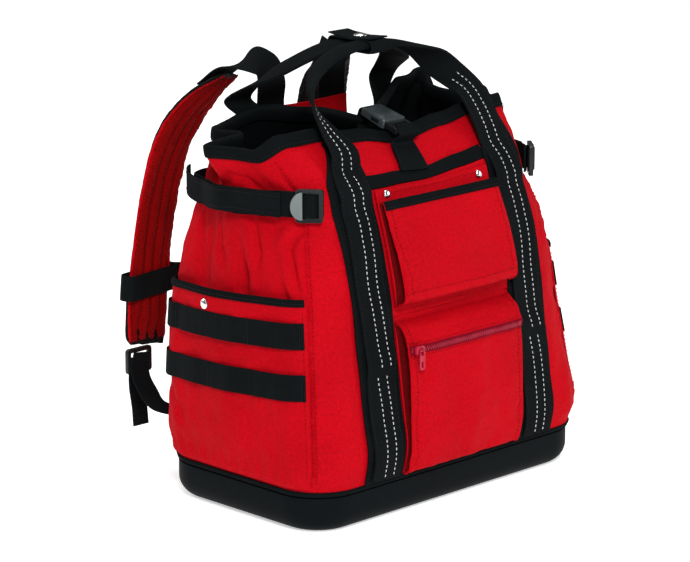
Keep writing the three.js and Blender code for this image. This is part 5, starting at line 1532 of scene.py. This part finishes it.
# x, y, z, width, lean: the right shoulder pad's middle
PAD_PATH = [
    (70, 128, 398, 44, -0.1), (82, 150, 380, 62, -0.1), (95, 170, 353, 70, -0.1), (105, 184, 318, 70, -0.12),
    (114, 192, 274, 70, -0.14), (121, 195, 228, 70, -0.15), (129, 193, 178, 70, -0.16), (137, 186, 124, 68, -0.16),
]
LOWER_STRAP = [
    (141, 190, 117, 25, -0.16), (144, 190, 99, 25, -0.16), (151, 172, 84, 25, -0.2), (157, 146, 73, 25, -0.2),
]
YOKE_HALF, YOKE_SEWN, YOKE_LEAVES, YOKE_TOP = 62.0, 286.0, 298.0, 365.0
PAD_HALF_THICK = 6.0
BAND_HEIGHT = 187.0
CHEST_SAG = 9.0
BLACK_ABOVE = 322.0  # the right pad shows its black back from here up


def strap_axes(line, lean):
    """The directions along, across and out of a strap that runs on a line, leant to one side."""
    along = unit(np.gradient(line, axis=0))
    over = np.stack([np.ones(len(line)), lean, np.zeros(len(line))], -1)
    over = unit(over - along * np.sum(over * along, axis=1, keepdims=True))
    return along, over, unit(np.cross(over, along))


def ribbon_keys(table, shares, lift=0.0):
    """Rows of points across a strap whose table gives x, y, z, width, lean."""
    rows = np.array(table, float)
    at = rows[:, :3]
    _, over, out = strap_axes(at, rows[:, 4])
    lift = np.broadcast_to(np.asarray(lift, float), (len(rows),))
    return at[:, None] + over[:, None] * np.asarray(shares)[None, :, None] * rows[:, 3][:, None, None] + (
        out * lift[:, None])[:, None]


def both_sides(grid):
    """The right side's grid and its mirror image, with their names."""
    return (("right", grid), ("left", (grid * (-1, 1, 1))[:, ::-1]))


def pad_frame(points):
    """Where points lie on the right pad: across it, along it, off its middle, and its half width."""
    line = spline(np.array(PAD_PATH)[:, None, :3].astype(float), 2.0)[:, 0]
    rows = np.array(PAD_PATH, float)
    run = lengths(line, 0)
    keys = lengths(rows[:, :3], 0)
    keys = keys / keys[-1] * run[-1]
    along, over, out = strap_axes(line, np.interp(run, keys, rows[:, 4]))
    nearest = np.argmin(((points[:, None] - line[None]) ** 2).sum(-1), axis=1)
    gap = points - line[nearest]
    return (np.sum(gap * over[nearest], 1), run[nearest] + np.sum(gap * along[nearest], 1),
            np.sum(gap * out[nearest], 1), np.interp(run[nearest], keys, rows[:, 3]) / 2, out[nearest])


def plump_pad():
    """The right pad as a closed, slightly thin form, swelled by a cloth simulation."""
    keys = ribbon_keys(PAD_PATH, [0])
    keys = np.concatenate([keys, np.broadcast_to(np.array(PAD_PATH)[:, None, 3:], keys.shape[:2] + (2,))], -1)
    line = spline(keys, 5.0)[:, 0]
    angles = np.linspace(0, math.tau, 33)[:-1]
    at = line[:, :3]
    _, over, out = strap_axes(at, line[:, 4])
    end = np.minimum(np.arange(len(line)), np.arange(len(line))[::-1]) * 5.0
    narrow = 1 - 0.16 * (1 - np.sqrt(np.clip(1 - (1 - np.clip(end / 14, 0, 1)) ** 2, 0, 1)))
    thin = 0.45 + 0.55 * smooth(end / 14)
    c, s = np.cos(angles), np.sin(angles)
    wide = (line[:, 3] / 2 - 2.2) * narrow
    points = at[:, None] + over[:, None] * (wide[:, None] * np.sign(c) * np.abs(c) ** 0.55)[..., None] + out[
        :, None] * (3.4 * thin[:, None] * np.sign(s) * np.abs(s) ** 0.7)[..., None]
    rows, columns = points.shape[:2]
    index = np.arange(rows * columns).reshape(rows, columns)
    faces = [(index[r, k], index[r, (k + 1) % columns], index[r + 1, (k + 1) % columns], index[r + 1, k])
             for r in range(rows - 1) for k in range(columns)]
    faces += [tuple(index[0, ::-1]), tuple(index[-1])]
    piece = mesh_piece("shoulder_pad_right_cloth", points.reshape(-1, 3), faces, None)
    outward(piece)
    bpy.ops.object.select_all(action="DESELECT")
    bpy.context.view_layer.objects.active = piece
    piece.select_set(True)
    piece.data.remesh_voxel_size = 4.6 * MM
    bpy.ops.object.voxel_remesh()
    swell(piece, settings().pad_pressure, 20, 3.0)
    return piece


def swell(piece, pressure, frames, most):
    """Blows a closed cloth form up, and lets no point move more than a few millimetres."""
    start = read(piece.data.vertices, "co")
    cloth = piece.modifiers.new("swell", "CLOTH")
    cloth.settings.use_pressure = True
    cloth.settings.uniform_pressure_force = pressure
    cloth.settings.effector_weights.gravity = 0
    cloth.point_cache.frame_start, cloth.point_cache.frame_end = 1, frames
    for number in range(1, frames + 1):
        bpy.context.scene.frame_set(number)
    moved = piece.evaluated_get(bpy.context.evaluated_depsgraph_get()).data
    end = read(moved.vertices, "co")
    piece.modifiers.remove(cloth)
    bpy.context.scene.frame_set(1)
    step = end - start
    far = np.linalg.norm(step, axis=1, keepdims=True)
    step = step * np.minimum(1, most * MM / np.maximum(far, 1e-9))
    piece.data.vertices.foreach_set("co", (start + step).ravel())
    piece.data.update()


QUILT_LINES = (-0.52, 0.0, 0.52)
PAD_BORDER = 8.5


def quilt(piece):
    """Sews the swelled pad: lengthwise quilt lines in its mesh face and a stitched border."""
    finer = piece.modifiers.new("finer", "SUBSURF")
    finer.levels = finer.render_levels = 2
    apply_all(piece)
    mesh = piece.data
    points = read(mesh.vertices, "co") / MM
    u, run, off, half, out = pad_frame(points)
    inner = smooth((-off + 1.5) / 3)
    dip = np.zeros(len(points))
    for share in QUILT_LINES:
        dip += 2.3 * bell((u - share * (half - PAD_BORDER)) / 3.2)
    edge = np.abs(np.abs(u) - (half - PAD_BORDER))
    dip = dip * (np.abs(u) < half - PAD_BORDER + 1) + 1.5 * bell(edge / 1.8)
    pucker = 0.3 * np.sin(run * math.tau / 9 + u * 0.3) * bell(edge / 7)
    ripple = 0.5 * waves(u, run, 46, 81)
    outside = smooth((off + 1.5) / 3)
    middle = 1.0 * bell(edge / 2.0) - 0.35 * waves(u, run, 60, 82)
    depth = settings().quilt_depth
    points = points + out * ((dip * depth - pucker - ripple) * inner - middle * outside)[:, None]
    mesh.vertices.foreach_set("co", (points * MM).ravel())
    u, _, off, half, _ = pad_frame(read(mesh.polygons, "center") / MM)
    kind = np.where(off > 0.8, 2, np.where(np.abs(u) < half - PAD_BORDER, 0, 1))
    for key in ("mesh", "border", "lining"):
        mesh.materials.append(FINISHES[key])
    mesh.polygons.foreach_set("material_index", kind.astype(np.int32))
    corner = np.empty(len(mesh.loops), np.int32)
    mesh.loops.foreach_get("vertex_index", corner)
    u, run = pad_frame(points)[:2]
    layer = mesh.uv_layers.new(name="cloth")
    layer.data.foreach_set("uv", (np.stack([u, run], -1)[corner] * MM).ravel().astype(np.float32))
    mesh.shade_smooth()
    mesh.update()


def mirrored_copy(piece, name):
    """A piece's mirror image on the other side, with its own mesh."""
    copy = piece.copy()
    copy.data = piece.data.copy()
    copy.name = copy.data.name = name
    bpy.context.scene.collection.objects.link(copy)
    bm = bmesh.new()
    bm.from_mesh(copy.data)
    for v in bm.verts:
        v.co.x = -v.co.x
    bmesh.ops.reverse_faces(bm, faces=bm.faces)
    bm.to_mesh(copy.data)
    bm.free()
    return copy


def pad_line(u_share, inset, face):
    """A stitch line down the right pad, on its mesh face (-1) or its outer face (1)."""
    line = spline(ribbon_keys(PAD_PATH, [-0.5, 0, 0.5]), 2.0)
    over = unit(line[:, 2] - line[:, 0])
    half = np.linalg.norm(line[:, 2] - line[:, 0], axis=1) / 2
    out = unit(np.cross(over, unit(np.gradient(line[:, 1], axis=0))))
    u = u_share * (half - inset)
    at = line[:, 1] + over * u[:, None]
    return at, out * face


def build_pads():
    """The shoulder pads, their webbing and bands, the chest strap and the yoke behind the rim."""
    piece = plump_pad()
    quilt(piece)
    lines = []
    for share in QUILT_LINES + (-1, 1):
        at, out = pad_line(share, PAD_BORDER, -1)
        found = [piece.closest_point_on_mesh(Vector(p + o * 6) * MM) for p, o in zip(at, out)]
        lines.append((np.array([list(f[1]) for f in found]) / MM + out * 0.15, out))
    right = dashes("shoulder_pad_right_thread", lines, "pad_thread", 2.6, 1.4, 0.8, 0.4)
    left_thread = mirrored_copy(right, "shoulder_pad_left_thread")
    for thread in (right, left_thread):
        wear(thread, "red_cloth")
    left = mirrored_copy(piece, "shoulder_pad_left_cloth")
    faces = np.empty(len(piece.data.polygons), np.int32)
    piece.data.polygons.foreach_get("material_index", faces)
    faces[read(piece.data.polygons, "center")[:, 2] > BLACK_ABOVE * MM] = 2
    piece.data.polygons.foreach_set("material_index", faces)
    for pad, name in ((piece, "right"), (left, "left")):
        wear(pad, "red_cloth", f"shoulder_pad_{name}")
    build_shoulder_straps()
    build_yoke()


def strap_piece(name, middle, thickness, material, *nodes):
    """A piece of black webbing on its middle surface."""
    piece = outward(webbing(name, middle, thickness, material))
    return wear(piece, "black_webbing", *nodes)


def build_shoulder_straps():
    """Webbing from the yoke over the pads, from the pads to the foot, the bands and the chest strap."""
    shares = np.linspace(-0.5, 0.5, 9)
    yoke_y = float(yoke_point(np.array([60.0]), YOKE_LEAVES, 1.6)[0, 1])
    root_y = yoke_y + 1.5
    top = [(42, root_y, 346, 36, 0), (42, root_y, 370, 36, 0), (42, root_y - 1, 392, 36, 0),
           (45, root_y + 2, 406, 36, -0.05), (53, 110, 412, 36, -0.1)]
    on_pad = ribbon_keys(PAD_PATH, shares * 36 / 44, PAD_HALF_THICK + 1.9)[:1]
    keys = np.concatenate([ribbon_keys(top, shares), on_pad,
                           ribbon_keys(PAD_PATH, shares * 36 / 62, PAD_HALF_THICK + 1.9)[1:2]])
    for name, grid in both_sides(spline(keys, 2.6)):
        strap_piece(f"shoulder_strap_{name}_webbing", grid, 1.8, "webbing", f"shoulder_strap_{name}")
    foot = skin(0.757, 64.0) + np.array([0, 1.2, 0])
    low = LOWER_STRAP + [(foot[0], foot[1] + 14, 67, 25, 0), (foot[0], foot[1] + 0.4, 64, 25, 0)]
    keys = ribbon_keys(low, np.linspace(-0.5, 0.5, 7))
    for name, grid in both_sides(spline(keys, 2.2)):
        strap_piece(f"lower_strap_{name}_webbing", grid, 1.7, "webbing", f"lower_strap_{name}")
    tail = [(142, 196.5, 111, 24, -0.16), (143.5, 195.6, 98, 24, -0.16), (146, 193, 82, 24, -0.2),
            (148, 187, 62, 24, -0.22), (149, 184, 44, 24, -0.2)]
    for name, grid in both_sides(spline(ribbon_keys(tail, np.linspace(-0.5, 0.5, 7)), 2.2)):
        strap_piece(f"lower_strap_{name}_tail", grid, 1.6, "webbing")
    band_and_chest()


def band_and_chest():
    """The bands round both pads and the chest strap between them."""
    line = spline(ribbon_keys(PAD_PATH, [-0.5, 0, 0.5]), 2.0)
    levels = np.linspace(BAND_HEIGHT + 12.5, BAND_HEIGHT - 12.5, 6)
    order = np.argsort(line[:, 1, 2])
    outer, inner = [], []
    for level in levels:
        at = along_line(level, line[order, 1, 2], line[order, 1])
        over = unit(np.array([1, -0.16, 0.0]))
        out = unit(np.array([0.16, 1, 0.0]))
        for rings, grow in ((outer, 2.8), (inner, 1.1)):
            rings.append(ring_of(at, over, out, 70 + 2 * grow, 12.8 + 2 * grow, 5 + grow, 7))
    outer, inner = np.array(outer), np.array(inner)
    for name, sign in (("right", 1), ("left", -1)):
        flip = slice(None, None, 1 if sign > 0 else -1)
        faces = [(rings * (sign, 1, 1))[:, flip] for rings in (outer, inner)]
        band = shell(f"pad_band_{name}_webbing", *faces, "webbing_level", around=True, edge=0.45)
        wear(outward(band), "black_webbing", f"pad_band_{name}")
    at = along_line(BAND_HEIGHT, line[order, 1, 2], line[order, 1])
    start = at[0] - 35 - 1.2 - 1.8 - 2.2
    x = np.linspace(17.5, start + 5.5, 40)[None, :]
    sag = CHEST_SAG * (1 - (x / start) ** 2)
    up = np.linspace(-12.2, 12.2, 7)[:, None]
    shift = 0.5 * np.sin(x / 9)
    y = at[1] + 5.9 + shift + 1.6 * smooth((x - start) / 5)
    middle = np.stack(np.broadcast_arrays(x, y, BAND_HEIGHT + up - sag), -1)
    for name, sign in (("right", 1), ("left", -1)):
        strap_piece(f"chest_strap_{name}_webbing", middle * (sign, 1, 1), 1.6, "webbing_level",
                    f"chest_strap_{name}")


def yoke_point(x, height, out):
    """Points of the yoke on the back of the bag."""
    places = across([height], x, True)[0] if np.ndim(height) == 0 else across(height, x, True)
    return skin(places, height, 1.0 + out)


def build_yoke():
    """The red yoke between the rim and the straps' roots."""
    x = np.linspace(YOKE_HALF, -YOKE_HALF, 31)
    low = np.array([yoke_point(x, h, 0.0) for h in np.linspace(YOKE_SEWN, YOKE_LEAVES, 4)])
    rise = np.linspace(4, YOKE_TOP - YOKE_LEAVES, 18)
    high = low[-1][None] + np.array([0, 0, 1.0]) * rise[:, None, None]
    bulge = 0.5 * np.sin(rise[:, None] * math.tau / 40 + x[None] * 0.07) * smooth(rise[:, None] / 10)
    high[..., 1] += bulge
    grid = np.concatenate([low, high])
    piece = outward(shell("back_yoke_cloth", grid + grid_facing(grid) * 1.6, grid, "cloth", edge=0.5))
    wear(piece, "red_cloth", "back_yoke")
    out = grid_facing(grid)
    lines = [(grid[-3, 1:-1] + out[-3, 1:-1] * 1.65, out[-3, 1:-1])]
    for c in (1, -2):
        lines.append((grid[1:-2, c] + out[1:-2, c] * 1.65, out[1:-2, c]))
    wear(dashes("back_yoke_thread", lines, "red_thread", 2.6, 1.5, 0.8, 0.4), "red_cloth")


def build_chest_buckle():
    """The flat buckle in the chest strap's middle."""
    body = cube("chest_buckle_body", (43, 29.5, 6.4))
    bevel_edges(body, lambda c, d: abs(d.z) > 0.9, 4, 5)
    pick(body, "FACE", lambda c, n: n.z > 0.9)
    bpy.ops.mesh.inset(thickness=3 * MM, depth=0.5 * MM)
    bpy.ops.mesh.inset(thickness=0.6 * MM, depth=-0.5 * MM)
    done()
    carve(body, cube("cut", (3.6, 25.5, 12), (-17.5, 0, 0)), cube("cut", (3.6, 25.5, 12), (17.5, 0, 0)),
          cube("cut", (11, 5, 4), (0, 14.5, 0)), cube("cut", (11, 5, 4), (0, -14.5, 0)))
    finished(body, "plastic", 0.5, 3)
    low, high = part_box("chest_buckle")
    at = (np.array(low) + np.array(high)) / 2 / MM
    wear(stand(body, at, (0, 1, 0), (-1, 0, 0)), "buckle_plastic", "chest_buckle")


def build_tray():
    """The moulded tray: a rounded block, hollowed from above, with a rolled lip."""
    tray = cube("base_tray_moulding", (380, 221, 36), (0, 0, 18))
    bevel_edges(tray, lambda c, d: abs(d.z) > 0.9, 46, 14)
    bevel_edges(tray, lambda c, d: c.z < 0.1 and abs(d.z) < 0.1, 19.5, 9)
    pick(tray, "FACE", lambda c, n: n.z > 0.9 and c.z > 30)
    bpy.ops.mesh.inset(thickness=3 * MM)
    bpy.ops.mesh.extrude_region_move(TRANSFORM_OT_translate={"value": (0, 0, -14 * MM)})
    for thickness, depth in ((1.5, 6), (3.5, 6), (6, 4.5), (9, 1.5)):
        bpy.ops.mesh.inset(thickness=thickness * MM, depth=-depth * MM)
    done()
    finished(tray, "rubber", 0.7, 3, 32, 40)
    wear(tray, "tray_rubber", "base_tray")


def build_zip_slider():
    """The zip's slider with its bridge, and the puller that hangs from it."""
    low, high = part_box("zip_slider")
    at = (np.array(low) + np.array(high)) / 2 / MM
    slider = cube("zip_slider_body", (11, 8.6, 3.6))
    pick(slider, "FACE", lambda c, n: n.z > 0.9)
    bpy.ops.mesh.inset(thickness=1.4 * MM, depth=0.35 * MM)
    done()
    bevel_edges(slider, lambda c, d: abs(d.z) > 0.9, 2.6, 4)
    finished(slider, "puller", 0.5, 3)
    hinge_y = at[1] - 2 - 0.7 - 0.8
    bridge = primitive("torus", "zip_slider_bridge", major_radius=2.75 * MM, minor_radius=0.62 * MM,
                       major_segments=40, minor_segments=12)
    pick(bridge, "VERT", lambda c, n: True)
    bpy.ops.transform.rotate(value=math.pi / 2, orient_axis="Y", center_override=(0, 0, 0))
    bpy.ops.mesh.bisect(plane_co=(0, 0, -1.9 * MM), plane_no=(0, 0, -1), clear_outer=True, use_fill=True)
    done()
    finished(bridge, "puller", 0.05, 1, 80, 60)
    slider.data.transform(turned_to((at[0], at[1], at[2]), (0, -1, 0), (1, 0, 0)))
    bridge.data.transform(turned_to((at[0], hinge_y, at[2]), (0, -1, 0), (1, 0, 0)))
    wear(slider, "crimson_zip", "zip_slider")
    wear(bridge, "crimson_zip")
    puller = cube("zip_puller_plate", (6.8, 19.6, 1.5), (0, -9.0, 0))
    bevel_edges(puller, lambda c, d: abs(d.z) > 0.9 and c.y < -10, 2.4, 5)
    bevel_edges(puller, lambda c, d: abs(d.z) > 0.9 and c.y > -1, 0.7, 3)
    pick(puller, "FACE", lambda c, n: n.z > 0.9)
    bpy.ops.mesh.inset(thickness=1.1 * MM, depth=-0.25 * MM)
    done()
    carve(puller, cube("cut", (3.6, 3.9, 6), (0, -2.6, 0)), cube("cut", (2.6, 6, 6), (0, -13.5, 0)))
    finished(puller, "puller", 0.35, 2, 35, 40)
    puller.data.transform(turned_to((at[0], hinge_y, at[2]), (0, -1, 0), (1, 0, 0)))
    wear(puller, "crimson_zip", "zip_pull", body="zip_puller")


CAMERA_TURN, CAMERA_RISE = -0.78354, 0.24521
CAMERA_TARGET = (-42.866, 0.0, 206.733)
CAMERA_DISTANCE = 3124.12
CAMERA_LENS = 36 * 3200 / 690


def build_stage():
    """The floor, the soft lights, the white surroundings and the camera."""
    scene = bpy.context.scene
    looks = settings()
    floor = primitive("plane", "floor", size=14)
    finish = Finish("studio_floor")
    place = finish.place(False)
    mottle = finish.noise(place, 3, 2)
    white = tuple(looks.floor_white) + (1.0,)
    base = finish.blend(mottle, tone(white, 0.985), white)
    floor.data.materials.append(finish.surface(base, mottle * 0.1 + 0.75, Emission_Color=(1.0, 1.0, 1.0, 1.0),
                                               Emission_Strength=looks.floor_glow))
    world = bpy.data.worlds.new("studio")
    world.use_nodes = True
    tree = world.node_tree
    room = tree.nodes["Background"]
    room.inputs["Color"].default_value = (1, 1, 1, 1)
    room.inputs["Strength"].default_value = looks.surround_light
    paper = tree.nodes.new("ShaderNodeBackground")
    paper.inputs["Color"].default_value = (1, 1, 1, 1)
    seen = tree.nodes.new("ShaderNodeLightPath")
    mix = tree.nodes.new("ShaderNodeMixShader")
    tree.links.new(seen.outputs["Is Camera Ray"], mix.inputs[0])
    tree.links.new(room.outputs[0], mix.inputs[1])
    tree.links.new(paper.outputs[0], mix.inputs[2])
    tree.links.new(mix.outputs[0], tree.nodes["World Output"].inputs["Surface"])
    scene.world = world
    lights = (  # name, place, size, power, aim
        ("key", (-1.9, -2.5, 2.3), 0.9, looks.key_light, (0, 0, 0.2)),
        ("fill", (2.6, -2.2, 1.4), 1.8, looks.key_light * 0.3, (0, 0, 0.2)),
        ("top", (0.2, 0.6, 3.0), 2.2, looks.key_light * 0.45, (0, 0, 0.2)),
        ("back", (-0.8, 2.8, 1.8), 1.6, looks.key_light * 0.3, (0, 0, 0.2)),
    )
    for name, place, size, power, aim in lights:
        lamp = bpy.data.lights.new(name, "AREA")
        lamp.shape, lamp.size, lamp.energy = "SQUARE", size, power
        holder = bpy.data.objects.new(name, lamp)
        holder.location = place
        holder.rotation_euler = (Vector(aim) - Vector(place)).to_track_quat("-Z", "Y").to_euler()
        scene.collection.objects.link(holder)
    level, rise = math.cos(CAMERA_RISE), math.sin(CAMERA_RISE)
    back = Vector((math.sin(CAMERA_TURN) * level, -math.cos(CAMERA_TURN) * level, rise))
    view = bpy.data.cameras.new("photo_view")
    view.lens, view.sensor_width, view.clip_end = CAMERA_LENS, 36, 50
    camera = bpy.data.objects.new("photo_view", view)
    camera.location = (Vector(CAMERA_TARGET) + back * CAMERA_DISTANCE) * MM
    camera.rotation_euler = (-back).to_track_quat("-Z", "Y").to_euler()
    scene.collection.objects.link(camera)
    scene.camera = camera
    scene.view_settings.view_transform = "Standard"


class BackpackLooks(bpy.types.PropertyGroup):
    """The colours and sizes of the backpack's cloth and of its studio."""

    cloth_red: bpy.props.FloatVectorProperty(
        name="Cloth", description="Colour of the bag's cloth", subtype="COLOR", min=0, max=1,
        default=(0.415, 0.0006, 0.0056))
    webbing_black: bpy.props.FloatVectorProperty(
        name="Webbing", description="Colour of the straps", subtype="COLOR", min=0, max=1,
        default=(0.004, 0.0052, 0.0058))
    lining_black: bpy.props.FloatVectorProperty(
        name="Lining", description="Colour of the bag's inside", subtype="COLOR", min=0, max=1,
        default=(0.0028, 0.0036, 0.004))
    rubber_black: bpy.props.FloatVectorProperty(
        name="Tray", description="Colour of the moulded tray", subtype="COLOR", min=0, max=1,
        default=(0.0034, 0.0048, 0.0056))
    plastic_black: bpy.props.FloatVectorProperty(
        name="Buckles", description="Colour of the buckles and locks", subtype="COLOR", min=0, max=1,
        default=(0.006, 0.0076, 0.008))
    floor_white: bpy.props.FloatVectorProperty(
        name="Floor", description="Colour of the studio floor", subtype="COLOR", min=0, max=1,
        default=(0.92, 0.92, 0.92))
    fold_depth: bpy.props.FloatProperty(
        name="Fold depth", description="How deep the cloth's folds are", default=1.4, min=0, max=2)
    quilt_depth: bpy.props.FloatProperty(
        name="Quilt depth", description="How deep the pads' quilt lines are", default=1.0, min=0, max=1.5)
    pad_pressure: bpy.props.FloatProperty(
        name="Pad pressure", description="How hard the pads are blown up", default=4.0, min=0, max=8)
    key_light: bpy.props.FloatProperty(
        name="Key light", description="Power of the main light", subtype="POWER", default=118.0, min=0)
    surround_light: bpy.props.FloatProperty(
        name="Surround", description="How much light the white surroundings give", default=0.16, min=0)
    floor_glow: bpy.props.FloatProperty(
        name="Floor glow", description="How much the floor lights itself, to stay white", default=0.52, min=0)


class BACKPACK_OT_finishes(bpy.types.Operator):
    """Make the cloth, webbing, rubber, plastic, metal and thread finishes"""

    bl_idname = "backpack.finishes"
    bl_label = "Finishes"

    def execute(self, context):
        finish_all(context.scene.backpack_looks)
        return {"FINISHED"}


class BACKPACK_OT_stage(bpy.types.Operator):
    """Set up the floor, the lights and the camera"""

    bl_idname = "backpack.stage"
    bl_label = "Stage"

    def execute(self, context):
        build_stage()
        return {"FINISHED"}


class BACKPACK_OT_tray(bpy.types.Operator):
    """Mould the tray"""

    bl_idname = "backpack.tray"
    bl_label = "Tray"

    def execute(self, context):
        build_tray()
        return {"FINISHED"}


class BACKPACK_OT_bag(bpy.types.Operator):
    """Sew the bag, its lining and its rim and foot tapes"""

    bl_idname = "backpack.bag"
    bl_label = "Bag"

    def execute(self, context):
        build_bag()
        return {"FINISHED"}


class BACKPACK_OT_front_pockets(bpy.types.Operator):
    """Sew the front pockets and the zip"""

    bl_idname = "backpack.front_pockets"
    bl_label = "Front pockets"

    def execute(self, context):
        build_front_pockets()
        build_zip_slider()
        return {"FINISHED"}


class BACKPACK_OT_side_pockets(bpy.types.Operator):
    """Sew the side pockets and their rows of webbing"""

    bl_idname = "backpack.side_pockets"
    bl_label = "Side pockets"

    def execute(self, context):
        build_side_pockets()
        return {"FINISHED"}


class BACKPACK_OT_handles(bpy.types.Operator):
    """Lay the front straps and make both handles and their tab"""

    bl_idname = "backpack.handles"
    bl_label = "Straps and handles"

    def execute(self, context):
        build_front_straps()
        return {"FINISHED"}


class BACKPACK_OT_side_straps(bpy.types.Operator):
    """Lay the side straps and their loose ends"""

    bl_idname = "backpack.side_straps"
    bl_label = "Side straps"

    def execute(self, context):
        build_side_straps()
        return {"FINISHED"}


class BACKPACK_OT_fittings(bpy.types.Operator):
    """Make the rivets, snaps, locks and buckles"""

    bl_idname = "backpack.fittings"
    bl_label = "Fittings"

    def execute(self, context):
        build_fittings()
        return {"FINISHED"}


class BACKPACK_OT_pads(bpy.types.Operator):
    """Swell and sew the shoulder pads, and add their straps and the yoke"""

    bl_idname = "backpack.pads"
    bl_label = "Shoulder pads"

    def execute(self, context):
        build_pads()
        return {"FINISHED"}


STEPS = (
    "finishes", "stage", "tray", "bag", "front_pockets", "side_pockets",
    "handles", "side_straps", "fittings", "pads",
)


class VIEW3D_PT_backpack(bpy.types.Panel):
    """The backpack's steps and looks"""

    bl_idname = "VIEW3D_PT_backpack"
    bl_label = "Tool backpack"
    bl_space_type = "VIEW_3D"
    bl_region_type = "UI"
    bl_category = "Backpack"

    def draw(self, context):
        for step in STEPS:
            self.layout.operator(f"backpack.{step}")
        for name in BackpackLooks.__annotations__:
            self.layout.prop(context.scene.backpack_looks, name)


CLASSES = (
    BackpackLooks, BACKPACK_OT_finishes, BACKPACK_OT_stage, BACKPACK_OT_tray, BACKPACK_OT_bag,
    BACKPACK_OT_front_pockets, BACKPACK_OT_side_pockets, BACKPACK_OT_handles, BACKPACK_OT_side_straps,
    BACKPACK_OT_fittings, BACKPACK_OT_pads, VIEW3D_PT_backpack,
)


def register():
    """Adds the classes and the panel's looks."""
    for made in CLASSES:
        bpy.utils.register_class(made)
    bpy.types.Scene.backpack_looks = bpy.props.PointerProperty(type=BackpackLooks)


def unregister():
    """Takes the classes and the looks away."""
    del bpy.types.Scene.backpack_looks
    for made in reversed(CLASSES):
        bpy.utils.unregister_class(made)


def main():
    """Makes every piece in order."""
    register()
    for step in STEPS:
        getattr(bpy.ops.backpack, step)()


if __name__ == "__main__":
    main()
